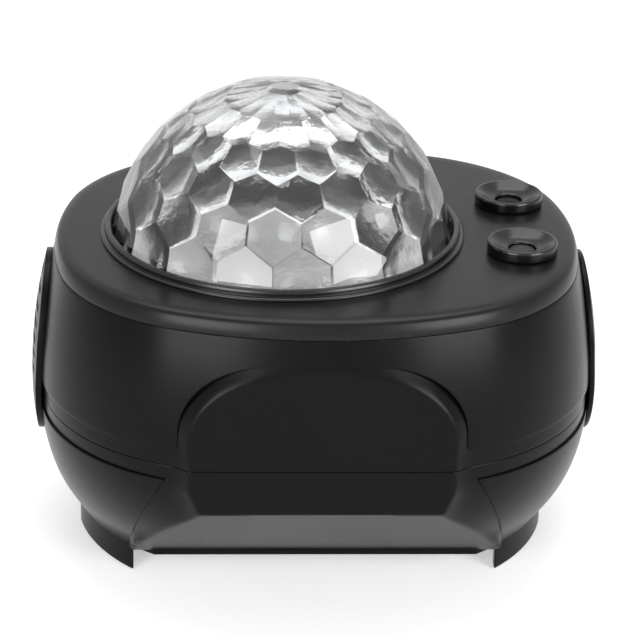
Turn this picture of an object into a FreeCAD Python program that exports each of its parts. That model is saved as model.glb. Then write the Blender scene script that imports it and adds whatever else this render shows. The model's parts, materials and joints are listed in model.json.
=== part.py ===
import FreeCAD, Part
import Sketcher
import math
import os
from types import SimpleNamespace

# Star projector: a rounded black housing on two side skirts, a faceted clear dome on top,
# two laser lenses beside it, a speaker grille on the left and a control panel at the back.
# Origin: centre of the footprint, on the surface that the skirts stand on. +Z is up, and the
# front of the object, with its flat facet, looks towards -Y. All lengths are millimetres.

# Driving sizes, piece by piece. A name that ends in share is a ratio without a length.
SIZES = [
    # Outer form: a barrel, widest at the parting line, with a squarish round plan
    ("body_half_width", 82.5),
    ("body_half_depth", 75.5),
    ("side_arc_radius", 110.0),
    ("front_arc_radius", 120.0),
    ("corner_arc_radius", 60.0),
    ("parting_z", 52.4),
    ("seam_z", 91.7),
    ("upper_bulge_radius", 140.7),
    ("lower_bulge_radius", 87.0),
    ("lower_straight_z", 18.1),
    ("joint_gap", 0.2),
    ("overrun", 1.0),
    # Shells over the housings, and the housings' walls
    ("shell_thickness", 1.8),
    ("shell_gap", 0.2),
    ("panel_recess", 0.7),
    ("housing_wall", 2.2),
    ("flat_wall", 2.5),
    # Front and back facets, the slopes below them and the pads that carry their corners
    ("facet_y", 71.0),
    ("facet_low_z", 39.0),
    ("facet_half", 36.8),
    ("facet_corner_z", 46.0),
    ("facet_low_half", 33.8),
    ("slope_low_y", 39.1),
    ("slope_low_z", 10.2),
    ("pad_side_y", 67.9),
    ("pad_foot_half", 46.1),
    ("pad_foot_z", 24.0),
    # Arched upper shell
    ("shell_low_z", 57.0),
    ("arch_top_z", 84.3),
    ("arch_flat_half", 13.2),
    ("arch_half", 40.2),
    ("arch_spring_z", 62.3),
    ("arch_foot_radius", 3.0),
    # Side skirts with their foot walls
    ("skirt_top_z", 48.0),
    ("skirt_top_half", 43.5),
    ("skirt_low_half", 54.4),
    ("skirt_low_z", 8.8),
    ("foot_half", 53.8),
    ("foot_wall", 3.0),
    ("foot_step", 0.6),
    # Top cover
    ("deck_z", 96.9),
    ("deck_edge_inset", 3.7),
    ("cover_wall", 3.2),
    ("deck_thickness", 2.5),
    # Dome and its trim ring
    ("dome_x", -10.1),
    ("dome_y", -2.7),
    ("dome_centre_z", 92.6),
    ("dome_radius", 49.1),
    ("dome_inner_radius", 46.4),
    ("dome_top_z", 142.0),
    ("dome_opening_radius", 51.8),
    ("flange_radius", 57.0),
    ("flange_thickness", 2.2),
    ("flange_screw_circle", 54.3),
    ("ring_lip_radius", 52.0),
    ("ring_lip_height", 3.0),
    ("ring_ledge_radius", 53.2),
    ("ring_ledge_height", 1.0),
    ("ring_inner_radius", 49.8),
    ("ring_root_radius", 50.8),
    ("ring_spigot_radius", 51.6),
    # Lens bezels and windows
    ("lens_x", 58.8),
    ("lens_mid_y", 0.8),
    ("bezel_radius", 10.2),
    ("bezel_height", 3.6),
    ("bezel_rim_width", 1.4),
    ("bezel_hole_radius", 3.9),
    ("bezel_dish_depth", 2.2),
    ("bezel_spigot_radius", 5.6),
    ("bezel_spigot_depth", 4.6),
    ("bezel_groove", 0.35),
    ("window_radius", 4.5),
    ("window_thickness", 1.2),
    # Side plates: the speaker grille on the left and a plain one on the right
    ("plate_proud", 1.8),
    ("plate_gap", 0.05),
    ("plate_low_z", 33.5),
    ("plate_high_z", 88.5),
    ("plate_half_width", 21.0),
    ("slot_low_z", 57.7),
    ("slot_pitch", 4.6),
    ("slot_height", 2.2),
    ("slot_margin", 5.5),
    # Speaker
    ("speaker_z", 71.5),
    ("speaker_radius", 17.5),
    ("speaker_seat_x", 73.8),
    ("speaker_opening_radius", 14.6),
    ("speaker_rim_thickness", 1.2),
    ("speaker_ledge", 1.0),
    ("speaker_depth", 15.0),
    ("magnet_radius", 9.5),
    ("magnet_thickness", 6.0),
    ("cone_radius", 14.1),
    ("cone_neck_radius", 5.0),
    ("cone_depth", 6.0),
    ("cone_thickness", 0.6),
    # Chassis plate that carries the light engine
    ("chassis_z", 72.0),
    ("chassis_thickness", 2.5),
    ("chassis_half_depth", 54.0),
    ("chassis_left", -56.0),
    ("chassis_right", 70.0),
    ("chassis_notch_x", -50.0),
    ("chassis_notch_half", 14.0),
    ("chassis_left_half", 46.0),
    ("chassis_left_bend", -48.0),
    ("chassis_right_half", 22.0),
    ("chassis_right_bend", 58.0),
    ("chassis_right_shoulder", 44.0),
    ("chassis_shoulder_x", 44.0),
    ("boss_radius", 3.2),
    ("boss_left_x", -50.0),
    ("boss_right_x", 46.0),
    ("boss_y", 48.0),
    # Light engine
    ("led_board_radius", 20.0),
    ("led_board_thickness", 1.6),
    ("led_side", 5.0),
    ("led_height", 1.2),
    ("led_circle", 10.5),
    ("led_lens_radius", 4.2),
    ("heat_sink_radius", 18.0),
    ("heat_sink_base", 3.0),
    ("heat_sink_height", 13.0),
    ("fin_thickness", 1.4),
    ("fin_pitch", 4.4),
    ("pin_radius", 1.5),
    ("pin_collar_radius", 2.6),
    ("running_gap", 0.05),
    ("end_gap", 0.2),
    # Gear train in one plane under the top cover
    ("gear_module", 0.8),
    ("gear_z", 85.3),
    ("gear_thickness", 3.0),
    ("tooth_backlash", 0.16),
    ("rim_width", 2.4),
    ("ripple_hub_radius", 4.0),
    ("ripple_disc_z", 86.2),
    ("ripple_disc_thickness", 1.2),
    ("ripple_rise", 0.5),
    ("hub_thickness", 4.2),
    ("clip_radius", 2.8),
    ("clip_thickness", 0.6),
    # Motor
    ("motor_radius", 12.0),
    ("motor_height", 11.0),
    ("motor_ear_length", 17.0),
    ("motor_ear_width", 7.0),
    ("motor_ear_thickness", 1.2),
    ("shaft_radius", 1.0),
    # Laser modules, their holders and the grating wheels
    ("laser_radius", 4.5),
    ("laser_length", 22.0),
    ("laser_top_z", 84.0),
    ("holder_flange_radius", 10.0),
    ("holder_flange_thickness", 2.0),
    ("holder_tube_radius", 7.4),
    ("holder_neck_radius", 6.0),
    ("film_radius", 6.9),
    ("film_thickness", 0.4),
    ("film_rim", 0.8),
    # Base cover, main board and its posts
    ("base_edge_inset", 1.2),
    ("base_foot_gap", 0.4),
    ("base_thickness", 1.6),
    ("hatch_half_width", 44.0),
    ("hatch_half_depth", 30.0),
    ("base_screw_x", 33.0),
    ("base_screw_y", 34.5),
    ("board_half_width", 40.0),
    ("board_half_depth", 26.0),
    ("board_thickness", 1.6),
    ("board_post_x", 36.0),
    ("board_post_y", 22.0),
    ("board_post_radius", 3.0),
    ("board_post_height", 5.9),
    ("chip_side", 9.0),
    ("chip_height", 1.6),
    ("capacitor_radius", 4.0),
    ("capacitor_height", 11.0),
    # Housing columns and long screws
    ("column_x", 50.5),
    ("column_y", 29.0),
    ("column_radius", 4.2),
    ("column_bore_radius", 3.2),
    ("column_seat_z", 42.0),
    ("column_top_z", 66.0),
    ("column_rib", 2.0),
    ("column_rib_length", 27.0),
    # Screws
    ("screw_radius", 1.2),
    ("screw_hole_radius", 1.5),
    ("screw_pilot_gap", 0.04),
    ("screw_head_radius", 2.4),
    ("screw_head_height", 1.6),
    ("screw_recess_radius", 1.0),
    ("screw_recess_depth", 0.9),
    ("short_screw_length", 6.0),
    ("small_screw_radius", 0.8),
    # Rear panel: power socket, data socket and power button
    ("port_z", 64.0),
    ("inlet_x", -16.0),
    ("inlet_nose_radius", 4.2),
    ("inlet_bore_radius", 3.2),
    ("inlet_pin_radius", 1.0),
    ("inlet_depth", 9.0),
    ("inlet_body_half", 4.6),
    ("usb_x", 1.0),
    ("usb_half_width", 6.6),
    ("usb_half_height", 2.9),
    ("usb_skin", 0.4),
    ("usb_tongue_thickness", 1.9),
    ("button_x", 18.0),
    ("button_radius", 4.0),
    ("button_gap", 0.3),
    ("button_proud", 1.6),
    ("button_flange_radius", 5.2),
    ("button_flange_thickness", 1.2),
    ("button_travel", 0.8),
    ("switch_half", 3.0),
    ("switch_plunger_radius", 1.6),
    ("switch_plunger_length", 1.6),
    ("io_board_y", 56.5),
    ("io_board_thickness", 1.6),
    ("io_board_half_width", 29.0),
    ("io_board_half_height", 8.0),
    ("io_post_x", 26.0),
    ("io_post_radius", 2.5),
    ("port_clearance", 0.2),
    # Touch key board under the front of the deck
    ("touch_left", -26.0),
    ("touch_right", 22.0),
    ("touch_front_y", -63.2),
    ("touch_back_y", -60.0),
    ("touch_thickness", 1.2),
]

# Counts and plain shares
RIPPLE_TEETH_COUNT = 90
PINION_TEETH_COUNT = 12
IDLER_TEETH_COUNT = 18
CENTRE_TEETH_COUNT = 24
GRATING_TEETH_COUNT = 24
ADDENDUM_SHARE = 0.70
DEDENDUM_SHARE = 0.95
PRESSURE_TANGENT_SHARE = 0.364
DOME_FACET_COUNT = 18
DOME_ROW_ANGLES = (79.0, 65.4, 51.4, 39.4, 26.9)
DOME_CAP_ANGLE = 14.0
DOME_TURN_ANGLE = 5.39
FRONT_DRAW_SHARE = 2.08
UPPER_BAND_COUNT = 6
LOWER_BAND_COUNT = 4
SKIRT_STEP_COUNT = 6
DECK_EDGE_STEP_COUNT = 5
DECK_EDGE_POWER_SHARE = 3.0
ARCH_STEP_COUNT = 10
SLOT_COUNT = 7
FIN_COUNT = 7
LED_COUNT = 4
LED_CAP_STEP_COUNT = 3
RIPPLE_RING_COUNT = 5
FLANGE_SCREW_COUNT = 4
FULL_TURN = 360.0
HALF_TURN = 180.0


class Size:
    """A length with its value and the sheet expression that gives it."""

    def __init__(self, value, text):
        self.value = value
        self.text = text

    def __float__(self):
        return self.value

    def __add__(self, other):
        other = as_size(other)
        return Size(self.value + other.value, "(%s + %s)" % (self.text, other.text))

    def __sub__(self, other):
        other = as_size(other)
        return Size(self.value - other.value, "(%s - %s)" % (self.text, other.text))

    def __mul__(self, factor):
        return Size(self.value * factor, "(%s * %r)" % (self.text, float(factor)))

    def __truediv__(self, factor):
        return Size(self.value / factor, "(%s / %r)" % (self.text, float(factor)))

    def __neg__(self):
        return Size(-self.value, "(0 - %s)" % self.text)


def as_size(item):
    """Zero is the only plain number that takes part in a sum."""
    if isinstance(item, Size):
        return item
    return Size(0.0, "0")


# Gear centres follow from the module and the tooth counts: the pinion lies on the line from
# the dome to the middle of the lenses, and the idler where it meets both its neighbours.
DERIVED = [
    ("ripple_pitch_radius", "=gear_module * %d / 2" % RIPPLE_TEETH_COUNT),
    ("pinion_pitch_radius", "=gear_module * %d / 2" % PINION_TEETH_COUNT),
    ("idler_pitch_radius", "=gear_module * %d / 2" % IDLER_TEETH_COUNT),
    ("centre_pitch_radius", "=gear_module * %d / 2" % CENTRE_TEETH_COUNT),
    ("grating_pitch_radius", "=gear_module * %d / 2" % GRATING_TEETH_COUNT),
    ("chain_length", "=sqrt((lens_x - dome_x) ^ 2 + (lens_mid_y - dome_y) ^ 2)"),
    ("chain_cosine_share", "=(lens_x - dome_x) / chain_length"),
    ("chain_sine_share", "=(lens_mid_y - dome_y) / chain_length"),
    ("pinion_reach", "=ripple_pitch_radius + pinion_pitch_radius"),
    ("pinion_x", "=dome_x + pinion_reach * chain_cosine_share"),
    ("pinion_y", "=dome_y + pinion_reach * chain_sine_share"),
    ("idler_near", "=pinion_pitch_radius + idler_pitch_radius"),
    ("idler_far", "=centre_pitch_radius + idler_pitch_radius"),
    ("idler_base", "=chain_length - pinion_reach"),
    ("idler_along", "=(idler_near ^ 2 - idler_far ^ 2 + idler_base ^ 2) / (2 * idler_base)"),
    ("idler_aside", "=sqrt(idler_near ^ 2 - idler_along ^ 2)"),
    ("idler_x", "=pinion_x + idler_along * chain_cosine_share - idler_aside * chain_sine_share"),
    ("idler_y", "=pinion_y + idler_along * chain_sine_share + idler_aside * chain_cosine_share"),
    ("front_lens_y", "=lens_mid_y - centre_pitch_radius - grating_pitch_radius"),
    ("rear_lens_y", "=lens_mid_y + centre_pitch_radius + grating_pitch_radius"),
]

doc = FreeCAD.newDocument("star_projector")
sheet = doc.addObject("Spreadsheet::Sheet", "Sizes")
for row, (alias, content) in enumerate(SIZES + DERIVED, start=1):
    sheet.set("A%d" % row, alias)
    sheet.set("B%d" % row, str(content))
    sheet.setAlias("B%d" % row, alias)
doc.recompute()

ALIASES = [alias for alias, content in SIZES + DERIVED]
N = SimpleNamespace(**{alias: float(sheet.get(alias)) for alias in ALIASES})
S = SimpleNamespace(**{alias: Size(getattr(N, alias), "Sizes." + alias) for alias in ALIASES})
NODES = []


# Small helpers

def vector(x, y, z):
    return FreeCAD.Vector(float(x), float(y), float(z))


UP = vector(0, 0, 1)
HERE = vector(0, 0, 0)


def node(item, name):
    """Name a finished piece, which then becomes a file of its own."""
    item.Label = name
    NODES.append(item)
    return item


def solid_node(name, shape, place=None):
    """A piece whose form is computed from the sheet."""
    item = doc.addObject("Part::Feature", name)
    item.Shape = shape
    if place is not None:
        item.Placement = place
    return node(item, name)


def box(x0, x1, y0, y1, z0, z1):
    x0, x1, y0, y1, z0, z1 = [float(v) for v in (x0, x1, y0, y1, z0, z1)]
    return Part.makeBox(x1 - x0, y1 - y0, z1 - z0, vector(x0, y0, z0))


def post(radius, x, y, z0, z1):
    return Part.makeCylinder(float(radius), float(z1) - float(z0), vector(x, y, z0), UP)


def rod(radius, start, direction, length):
    return Part.makeCylinder(float(radius), float(length), start, direction)


def fused(shapes):
    first = shapes[0]
    return first.fuse(shapes[1:]).removeSplitter() if len(shapes) > 1 else first


# Sketched pieces: the corners of each sketch are held by the sheet

def origin_plane(body, role):
    for item in body.Origin.OriginFeatures:
        if item.Role == role:
            return item
    raise ValueError("no origin plane " + role)


def new_sketch(body, name, role, lift=None):
    sketch = body.newObject("Sketcher::SketchObject", name)
    sketch.AttachmentSupport = [(origin_plane(body, role), "")]
    sketch.MapMode = "FlatFace"
    if lift is not None:
        sketch.setExpression("AttachmentOffset.Base.z", lift.text)
    return sketch


def hold(sketch, kind, index, end, size):
    """Keep one coordinate of a point at a size, or on an axis where it is zero."""
    size = as_size(size)
    if size.text == "0":
        axis = -2 if kind == "DistanceX" else -1
        sketch.addConstraint(Sketcher.Constraint("PointOnObject", index, end, axis))
        return
    number = sketch.addConstraint(Sketcher.Constraint(kind, -1, 1, index, end, size.value))
    sketch.setExpression("Constraints[%d]" % number, size.text)


def outline(sketch, points):
    first = sketch.GeometryCount
    count = len(points)
    spots = [vector(as_size(x), as_size(y), 0) for x, y in points]
    for number in range(count):
        sketch.addGeometry(Part.LineSegment(spots[number], spots[(number + 1) % count]), False)
    for number in range(count):
        following = first + (number + 1) % count
        sketch.addConstraint(Sketcher.Constraint("Coincident", first + number, 2, following, 1))
    for number, (x, y) in enumerate(points):
        hold(sketch, "DistanceX", first + number, 1, x)
        hold(sketch, "DistanceY", first + number, 1, y)


def round_hole(sketch, x, y, radius):
    circle = Part.Circle(vector(as_size(x), as_size(y), 0), UP, float(radius))
    index = sketch.addGeometry(circle, False)
    number = sketch.addConstraint(Sketcher.Constraint("Radius", index, float(radius)))
    sketch.setExpression("Constraints[%d]" % number, radius.text)
    hold(sketch, "DistanceX", index, 3, x)
    hold(sketch, "DistanceY", index, 3, y)


def place_body(body, x, y, z):
    for axis, size in (("x", x), ("y", y), ("z", z)):
        size = as_size(size)
        if size.text != "0":
            body.setExpression("Placement.Base." + axis, size.text)


def turned(name, points, x=0, y=0, z=0, rotation=None, keep=True):
    """A body turned from a half section of (radius, height) points."""
    body = doc.addObject("PartDesign::Body", name)
    sketch = new_sketch(body, name + "_section", "XZ_Plane")
    outline(sketch, points)
    turn = body.newObject("PartDesign::Revolution", name + "_turn")
    turn.Profile = sketch
    turn.ReferenceAxis = (sketch, ["V_Axis"])
    turn.Angle = FULL_TURN
    if rotation is not None:
        body.Placement = FreeCAD.Placement(HERE, rotation)
    place_body(body, x, y, z)
    return node(body, name) if keep else body


def flat_plate(name, points, z, thickness, holes=(), x=0, y=0, rotation=None):
    """A flat body padded from an outline with round holes."""
    body = doc.addObject("PartDesign::Body", name)
    sketch = new_sketch(body, name + "_outline", "XY_Plane")
    outline(sketch, points)
    for hole in holes:
        round_hole(sketch, *hole)
    pad = body.newObject("PartDesign::Pad", name + "_pad")
    pad.Profile = sketch
    pad.setExpression("Length", thickness.text)
    if rotation is not None:
        body.Placement = FreeCAD.Placement(HERE, rotation)
    place_body(body, x, y, z)
    return node(body, name)


def rectangle(half_x, half_y):
    return [(-half_x, -half_y), (half_x, -half_y), (half_x, half_y), (-half_x, half_y)]


# The outer form

def plan_arcs():
    """Centre, radius and angles of the plan's eight tangent arcs, anticlockwise."""
    side_x = N.body_half_width - N.side_arc_radius
    front_y = N.body_half_depth - N.front_arc_radius
    to_side = N.side_arc_radius - N.corner_arc_radius
    to_front = N.front_arc_radius - N.corner_arc_radius
    apart = math.hypot(side_x, front_y)
    along = (to_side ** 2 - to_front ** 2 + apart ** 2) / (2 * apart)
    aside = math.sqrt(to_side ** 2 - along ** 2)
    unit_x = -side_x / apart
    unit_y = front_y / apart
    corner_x = side_x + along * unit_x - aside * unit_y
    corner_y = along * unit_y + aside * unit_x
    low = math.atan2(corner_y, corner_x - side_x)
    high = math.atan2(corner_y - front_y, corner_x)
    half = [
        ((side_x, 0.0), N.side_arc_radius, -low, low),
        ((corner_x, corner_y), N.corner_arc_radius, low, high),
        ((0.0, front_y), N.front_arc_radius, high, math.pi - high),
        ((-corner_x, corner_y), N.corner_arc_radius, math.pi - high, math.pi - low),
    ]
    return half + [((-cx, -cy), r, start + math.pi, end + math.pi) for (cx, cy), r, start, end in half]


PLAN = plan_arcs()


def profile_marks():
    """Heights of the barrel's profile, with how far it has drawn in from its widest line."""
    rise = N.parting_z - N.lower_straight_z
    slope = rise / math.sqrt(N.lower_bulge_radius ** 2 - rise ** 2)
    marks = []
    for k in range(LOWER_BAND_COUNT + 1):
        below = rise * (1 - k / LOWER_BAND_COUNT)
        inward = N.lower_bulge_radius - math.sqrt(N.lower_bulge_radius ** 2 - below ** 2)
        marks.append((N.parting_z - below, inward))
    for k in range(1, UPPER_BAND_COUNT + 1):
        above = (N.seam_z - N.parting_z) * k / UPPER_BAND_COUNT
        inward = N.upper_bulge_radius - math.sqrt(N.upper_bulge_radius ** 2 - above ** 2)
        marks.append((N.parting_z + above, inward))
    return [(0.0, marks[0][1] + slope * N.lower_straight_z)] + marks


PROFILE = profile_marks()


def drop(z):
    """How far the barrel has drawn in at a height, straight between the profile's marks."""
    for (low, start), (high, end) in zip(PROFILE, PROFILE[1:]):
        if z <= high:
            break
    return start + (end - start) * (z - low) / (high - low)


def outline_at(z, inset):
    """The barrel's eight tangent arcs at a height, drawn in by an inset.

    Above the parting line the outline draws in evenly. Below it the front and the back draw in
    faster than the sides, while every arc keeps the directions in which it starts and ends.
    """
    inward = drop(z)
    if z >= N.parting_z:
        return offset_plan(inward + inset)
    half_width = N.body_half_width - inward
    half_depth = N.body_half_depth - FRONT_DRAW_SHARE * inward
    corner = N.corner_arc_radius
    low, high = PLAN[1][2], PLAN[1][3]
    across = half_width - corner * (math.cos(low) - math.cos(high))
    along = half_depth - corner * (math.sin(high) - math.sin(low))
    share = (1 - math.cos(low)) * (1 - math.sin(high)) - math.cos(high) * math.sin(low)
    side = (across * (1 - math.sin(high)) - along * math.cos(high)) / share
    front = (along * (1 - math.cos(low)) - across * math.sin(low)) / share
    side_x = half_width - side
    corner_x = side_x + (side - corner) * math.cos(low)
    corner_y = (side - corner) * math.sin(low)
    places = [(side_x, 0.0), (corner_x, corner_y), (0.0, half_depth - front), (-corner_x, corner_y)]
    places += [(-x, -y) for x, y in places]
    radii = [side, corner, front, corner] * 2
    return [
        (place, radius - inset, start, end)
        for place, radius, (old, size, start, end) in zip(places, radii, PLAN)
    ]


def offset_plan(inset):
    """The plan's eight arcs, drawn in evenly."""
    return [(centre, radius - inset, start, end) for centre, radius, start, end in PLAN]


def stations(low, high):
    """Heights between which the barrel is built as straight bands."""
    marks = [z for z, inward in PROFILE[:-1]]
    return [low] + [z for z in marks if low < z < high] + [high]


def arc_edge(arc, z):
    """One arc of an outline as an edge at a height, with its two ends."""
    (cx, cy), radius, start, end = arc

    def spot(angle):
        return vector(cx + radius * math.cos(angle), cy + radius * math.sin(angle), z)

    return Part.Arc(spot(start), spot((start + end) / 2), spot(end)).toShape(), spot(start)


def banded(levels):
    """A closed solid through outlines at rising heights, straight from each to the next."""
    faces = []
    for (low, under), (high, over) in zip(levels, levels[1:]):
        for low_arc, high_arc in zip(under, over):
            low_edge, low_start = arc_edge(low_arc, low)
            high_edge, high_start = arc_edge(high_arc, high)
            if low_arc[0] == high_arc[0]:
                (cx, cy), radius, start, end = low_arc
                edge = Part.LineSegment(low_start, high_start).toShape()
                faces += edge.revolve(vector(cx, cy, 0), UP, math.degrees(end - start)).Faces
            else:
                faces.append(Part.makeRuledSurface(low_edge, high_edge))
    for z, arcs in (levels[0], levels[-1]):
        faces.append(Part.Face(Part.Wire([arc_edge(arc, z)[0] for arc in arcs])))
    shell = Part.Shell(faces)
    shell.sewShape()
    solid = Part.Solid(shell)
    if solid.Volume < 0:
        solid.reverse()
    return solid


def barrel(inset, low, high):
    """The barrel between two heights, drawn in by an inset."""
    return banded([(z, outline_at(z, inset)) for z in stations(low, high)])


def barrel_skin(outset, inset, low, high):
    """The wall between two insets of the barrel."""
    return barrel(outset, low, high).cut(barrel(inset, low - N.overrun, high + N.overrun))


def trim_planes():
    """Point and outward normal of the front and back facets and of the slopes below them."""
    high = vector(0, -N.facet_y, N.facet_low_z)
    along = vector(0, -N.slope_low_y, N.slope_low_z) - high
    planes = [(high, vector(0, -1, 0)), (high, vector(0, along.z, -along.y))]
    planes += [(vector(p.x, -p.y, p.z), vector(n.x, -n.y, n.z)) for p, n in planes]
    return [(p, n.normalize()) for p, n in planes]


def cut_beyond(shape, planes, inset):
    """Take off what lies outside some planes that are moved in by an inset."""
    reach = 3 * N.body_half_width
    for point, normal in planes:
        start = point - normal * inset
        block = Part.makeBox(2 * reach, 2 * reach, reach, vector(-reach, -reach, 0))
        block.Placement = FreeCAD.Placement(start, FreeCAD.Rotation(UP, normal))
        shape = shape.cut(block)
    return shape


def trimmed(shape, inset):
    """Take off what lies outside the facets and slopes."""
    return cut_beyond(shape, trim_planes(), inset)


def pad_planes():
    """Point and outward normal of the bevels on both sides of the front pad."""
    edge = vector(N.facet_half, -N.facet_y, N.facet_corner_z)
    side = vector(N.arch_half, -N.pad_side_y, N.facet_corner_z) - edge
    low = vector(N.facet_low_half, -N.facet_y, N.facet_low_z)
    share = (N.pad_foot_z - N.slope_low_z) / (N.facet_low_z - N.slope_low_z)
    foot_y = N.slope_low_y + (N.facet_y - N.slope_low_y) * share
    foot = vector(N.pad_foot_half, -foot_y, N.pad_foot_z)
    planes = [(edge, vector(-side.y, side.x, 0) * -1), (edge, (low - edge).cross(foot - edge))]
    planes = [(p, n if n.x > 0 else n * -1) for p, n in planes]
    planes += [(vector(-p.x, p.y, p.z), vector(-n.x, n.y, n.z)) for p, n in planes]
    return [(p, n.normalize()) for p, n in planes]


def pads(low, high):
    """Raised blocks in front and behind whose faces become the facets' corners."""
    half = N.pad_foot_half + N.overrun
    block = box(-half, half, -N.facet_y - N.overrun, -N.slope_low_y, low, high)
    front = cut_beyond(block, pad_planes(), 0)
    back = front.mirror(vector(0, 0, 0), vector(0, 1, 0))
    return [front, back]


def arch_prism(margin, side):
    """The arch seen from the front, carried through one side of the shell."""
    half = N.arch_half - margin
    top = N.arch_top_z - margin
    flat = N.arch_flat_half
    spring = N.arch_spring_z
    low = N.shell_low_z
    foot = N.arch_foot_radius + margin
    quarter = [k * math.pi / 2 / ARCH_STEP_COUNT for k in range(1, ARCH_STEP_COUNT + 1)]
    right = [(flat, top)]
    right += [(flat + (half - flat) * math.sin(a), spring + (top - spring) * math.cos(a)) for a in quarter]
    right += [(half + foot * (1 - math.cos(a)), low + foot * (1 - math.sin(a))) for a in quarter]
    right += [(half + foot, low - N.overrun)]
    points = right + [(-x, z) for x, z in reversed(right)]
    corners = [vector(x, 0, z) for x, z in points]
    face = Part.Face(Part.makePolygon(corners + corners[:1]))
    return face.extrude(vector(0, side * 2 * N.body_half_depth, 0))


def skirt_zone(margin, side):
    """The region behind the curved front and back edges of one side skirt."""
    top = N.skirt_top_z - margin
    low = -N.overrun
    far = 2 * N.body_half_width
    reach = N.skirt_low_half - N.skirt_top_half
    height = N.skirt_top_z - N.skirt_low_z
    points = []
    for step in range(SKIRT_STEP_COUNT + 1):
        share = 1 - step / SKIRT_STEP_COUNT
        points.append((N.skirt_low_half - reach * share ** 2 + margin, N.skirt_low_z + height * share))
    points[0] = (points[0][0], top)
    points += [(points[-1][0], low), (far, low), (far, top)]
    corners = [vector(side * x, -far, z) for x, z in points]
    face = Part.Face(Part.makePolygon(corners + corners[:1]))
    return face.extrude(vector(0, 2 * far, 0))


def stadium_prism(half_width, low, high, side):
    """A round-ended upright outline, seen from the side, carried outwards."""
    far = 2 * N.body_half_width
    x0 = min(0.0, side * far)
    middle = box(x0, x0 + far, -half_width, half_width, low + half_width, high - half_width)
    ends = [
        rod(half_width, vector(0, 0, z), vector(side, 0, 0), far)
        for z in (low + half_width, high - half_width)
    ]
    return fused([middle] + ends)


def corners_of(half_x, half_y):
    return [(sx * float(half_x), sy * float(half_y)) for sx in (-1, 1) for sy in (-1, 1)]


# Gears

def gear_face(teeth, phase):
    """Outline of a spur gear with one tooth centred on the phase angle."""
    pitch_radius = N.gear_module * teeth / 2
    tip = pitch_radius + ADDENDUM_SHARE * N.gear_module
    root = pitch_radius - DEDENDUM_SHARE * N.gear_module
    base = pitch_radius / math.hypot(1.0, PRESSURE_TANGENT_SHARE)
    half_pitch = math.pi / (2 * teeth) - N.tooth_backlash / (4 * pitch_radius)

    def involute(radius):
        ratio = max(radius, base) / base
        roll = math.sqrt(ratio ** 2 - 1)
        return roll - math.atan(roll)

    def half_angle(radius):
        return half_pitch + involute(pitch_radius) - involute(radius)

    marks = [root, max(base, root + (tip - root) / 3), (max(base, root) + tip) / 2, tip]
    flank = [(radius, half_angle(radius)) for radius in marks]
    points = []
    for tooth in range(teeth):
        centre = phase + 2 * math.pi * tooth / teeth
        points += [(radius, centre - half) for radius, half in flank]
        points += [(radius, centre + half) for radius, half in reversed(flank)]
    corners = [vector(r * math.cos(a), r * math.sin(a), 0) for r, a in points]
    return Part.Face(Part.makePolygon(corners + corners[:1]))


def gear_solid(teeth, phase, bore, parts=()):
    """A gear on its own axis, with extra turned parts fused on and a bore through."""
    toothed = gear_face(teeth, phase).extrude(vector(0, 0, N.gear_thickness))
    whole = fused([toothed] + list(parts)) if parts else toothed
    return whole.cut(post(bore, 0, 0, -N.overrun, N.hub_thickness + N.overrun))


def mesh_phase(spot, phase, teeth, next_spot, next_teeth):
    """Phase that puts the next gear's gap where this gear has a tooth."""
    line = math.atan2(next_spot[1] - spot[1], next_spot[0] - spot[0])
    part = ((line - phase) / (2 * math.pi / teeth)) % 1.0
    return line + math.pi - (0.5 - part) * 2 * math.pi / next_teeth


RIPPLE = (N.dome_x, N.dome_y)
PINION = (N.pinion_x, N.pinion_y)
IDLER = (N.idler_x, N.idler_y)
LENS_MIDDLE = (N.lens_x, N.lens_mid_y)
LENS_SPOTS = {
    "front": (N.lens_x, N.front_lens_y),
    "rear": (N.lens_x, N.rear_lens_y),
}
LENS_SIZES = {"front": S.front_lens_y, "rear": S.rear_lens_y}
CHASSIS_TOP = N.chassis_z + N.chassis_thickness
COVER_UNDERSIDE = N.deck_z - N.deck_thickness
CAVITY_INSET = N.shell_thickness + N.shell_gap + N.housing_wall
COVER_LOW = N.seam_z + N.joint_gap
BOSSES = [(N.boss_left_x, -N.boss_y), (N.boss_left_x, N.boss_y), (N.boss_right_x, -N.boss_y),
          (N.boss_right_x, N.boss_y)]


# Housings and shells

def make_lower_housing():
    """Bowl with facets, slopes and bevels, an open hatch below and four columns."""
    top = N.parting_z - N.joint_gap / 2
    low = N.slope_low_z
    body = trimmed(barrel(N.panel_recess, low, top).fuse(pads(low, top)), 0)
    ledge = barrel_skin(-N.overrun, N.shell_thickness + N.shell_gap, low - N.overrun, N.skirt_top_z)
    for side in (-1, 1):
        body = body.cut(ledge.common(skirt_zone(0, side)))
    cavity = trimmed(barrel(CAVITY_INSET, low + N.flat_wall, top + N.overrun), N.flat_wall)
    body = body.cut(cavity)
    columns = [
        post(N.column_radius, x, y, low, top) for x, y in corners_of(N.column_x, N.column_y)
    ]
    body = body.fuse(columns)
    hatch = box(-N.hatch_half_width, N.hatch_half_width, -N.hatch_half_depth, N.hatch_half_depth,
                low - N.overrun, low + N.flat_wall + N.overrun)
    cuts = [hatch]
    for x, y in corners_of(N.column_x, N.column_y):
        cuts.append(post(N.column_bore_radius, x, y, low - N.overrun, N.column_seat_z))
        cuts.append(post(N.screw_hole_radius, x, y, low, top + N.overrun))
    for x, y in corners_of(N.base_screw_x, N.base_screw_y):
        cuts.append(post(N.small_screw_radius + N.screw_pilot_gap, x, y, low - N.overrun,
                         low + N.flat_wall + N.overrun))
    solid_node("lower_housing", body.cut(cuts))


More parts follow.
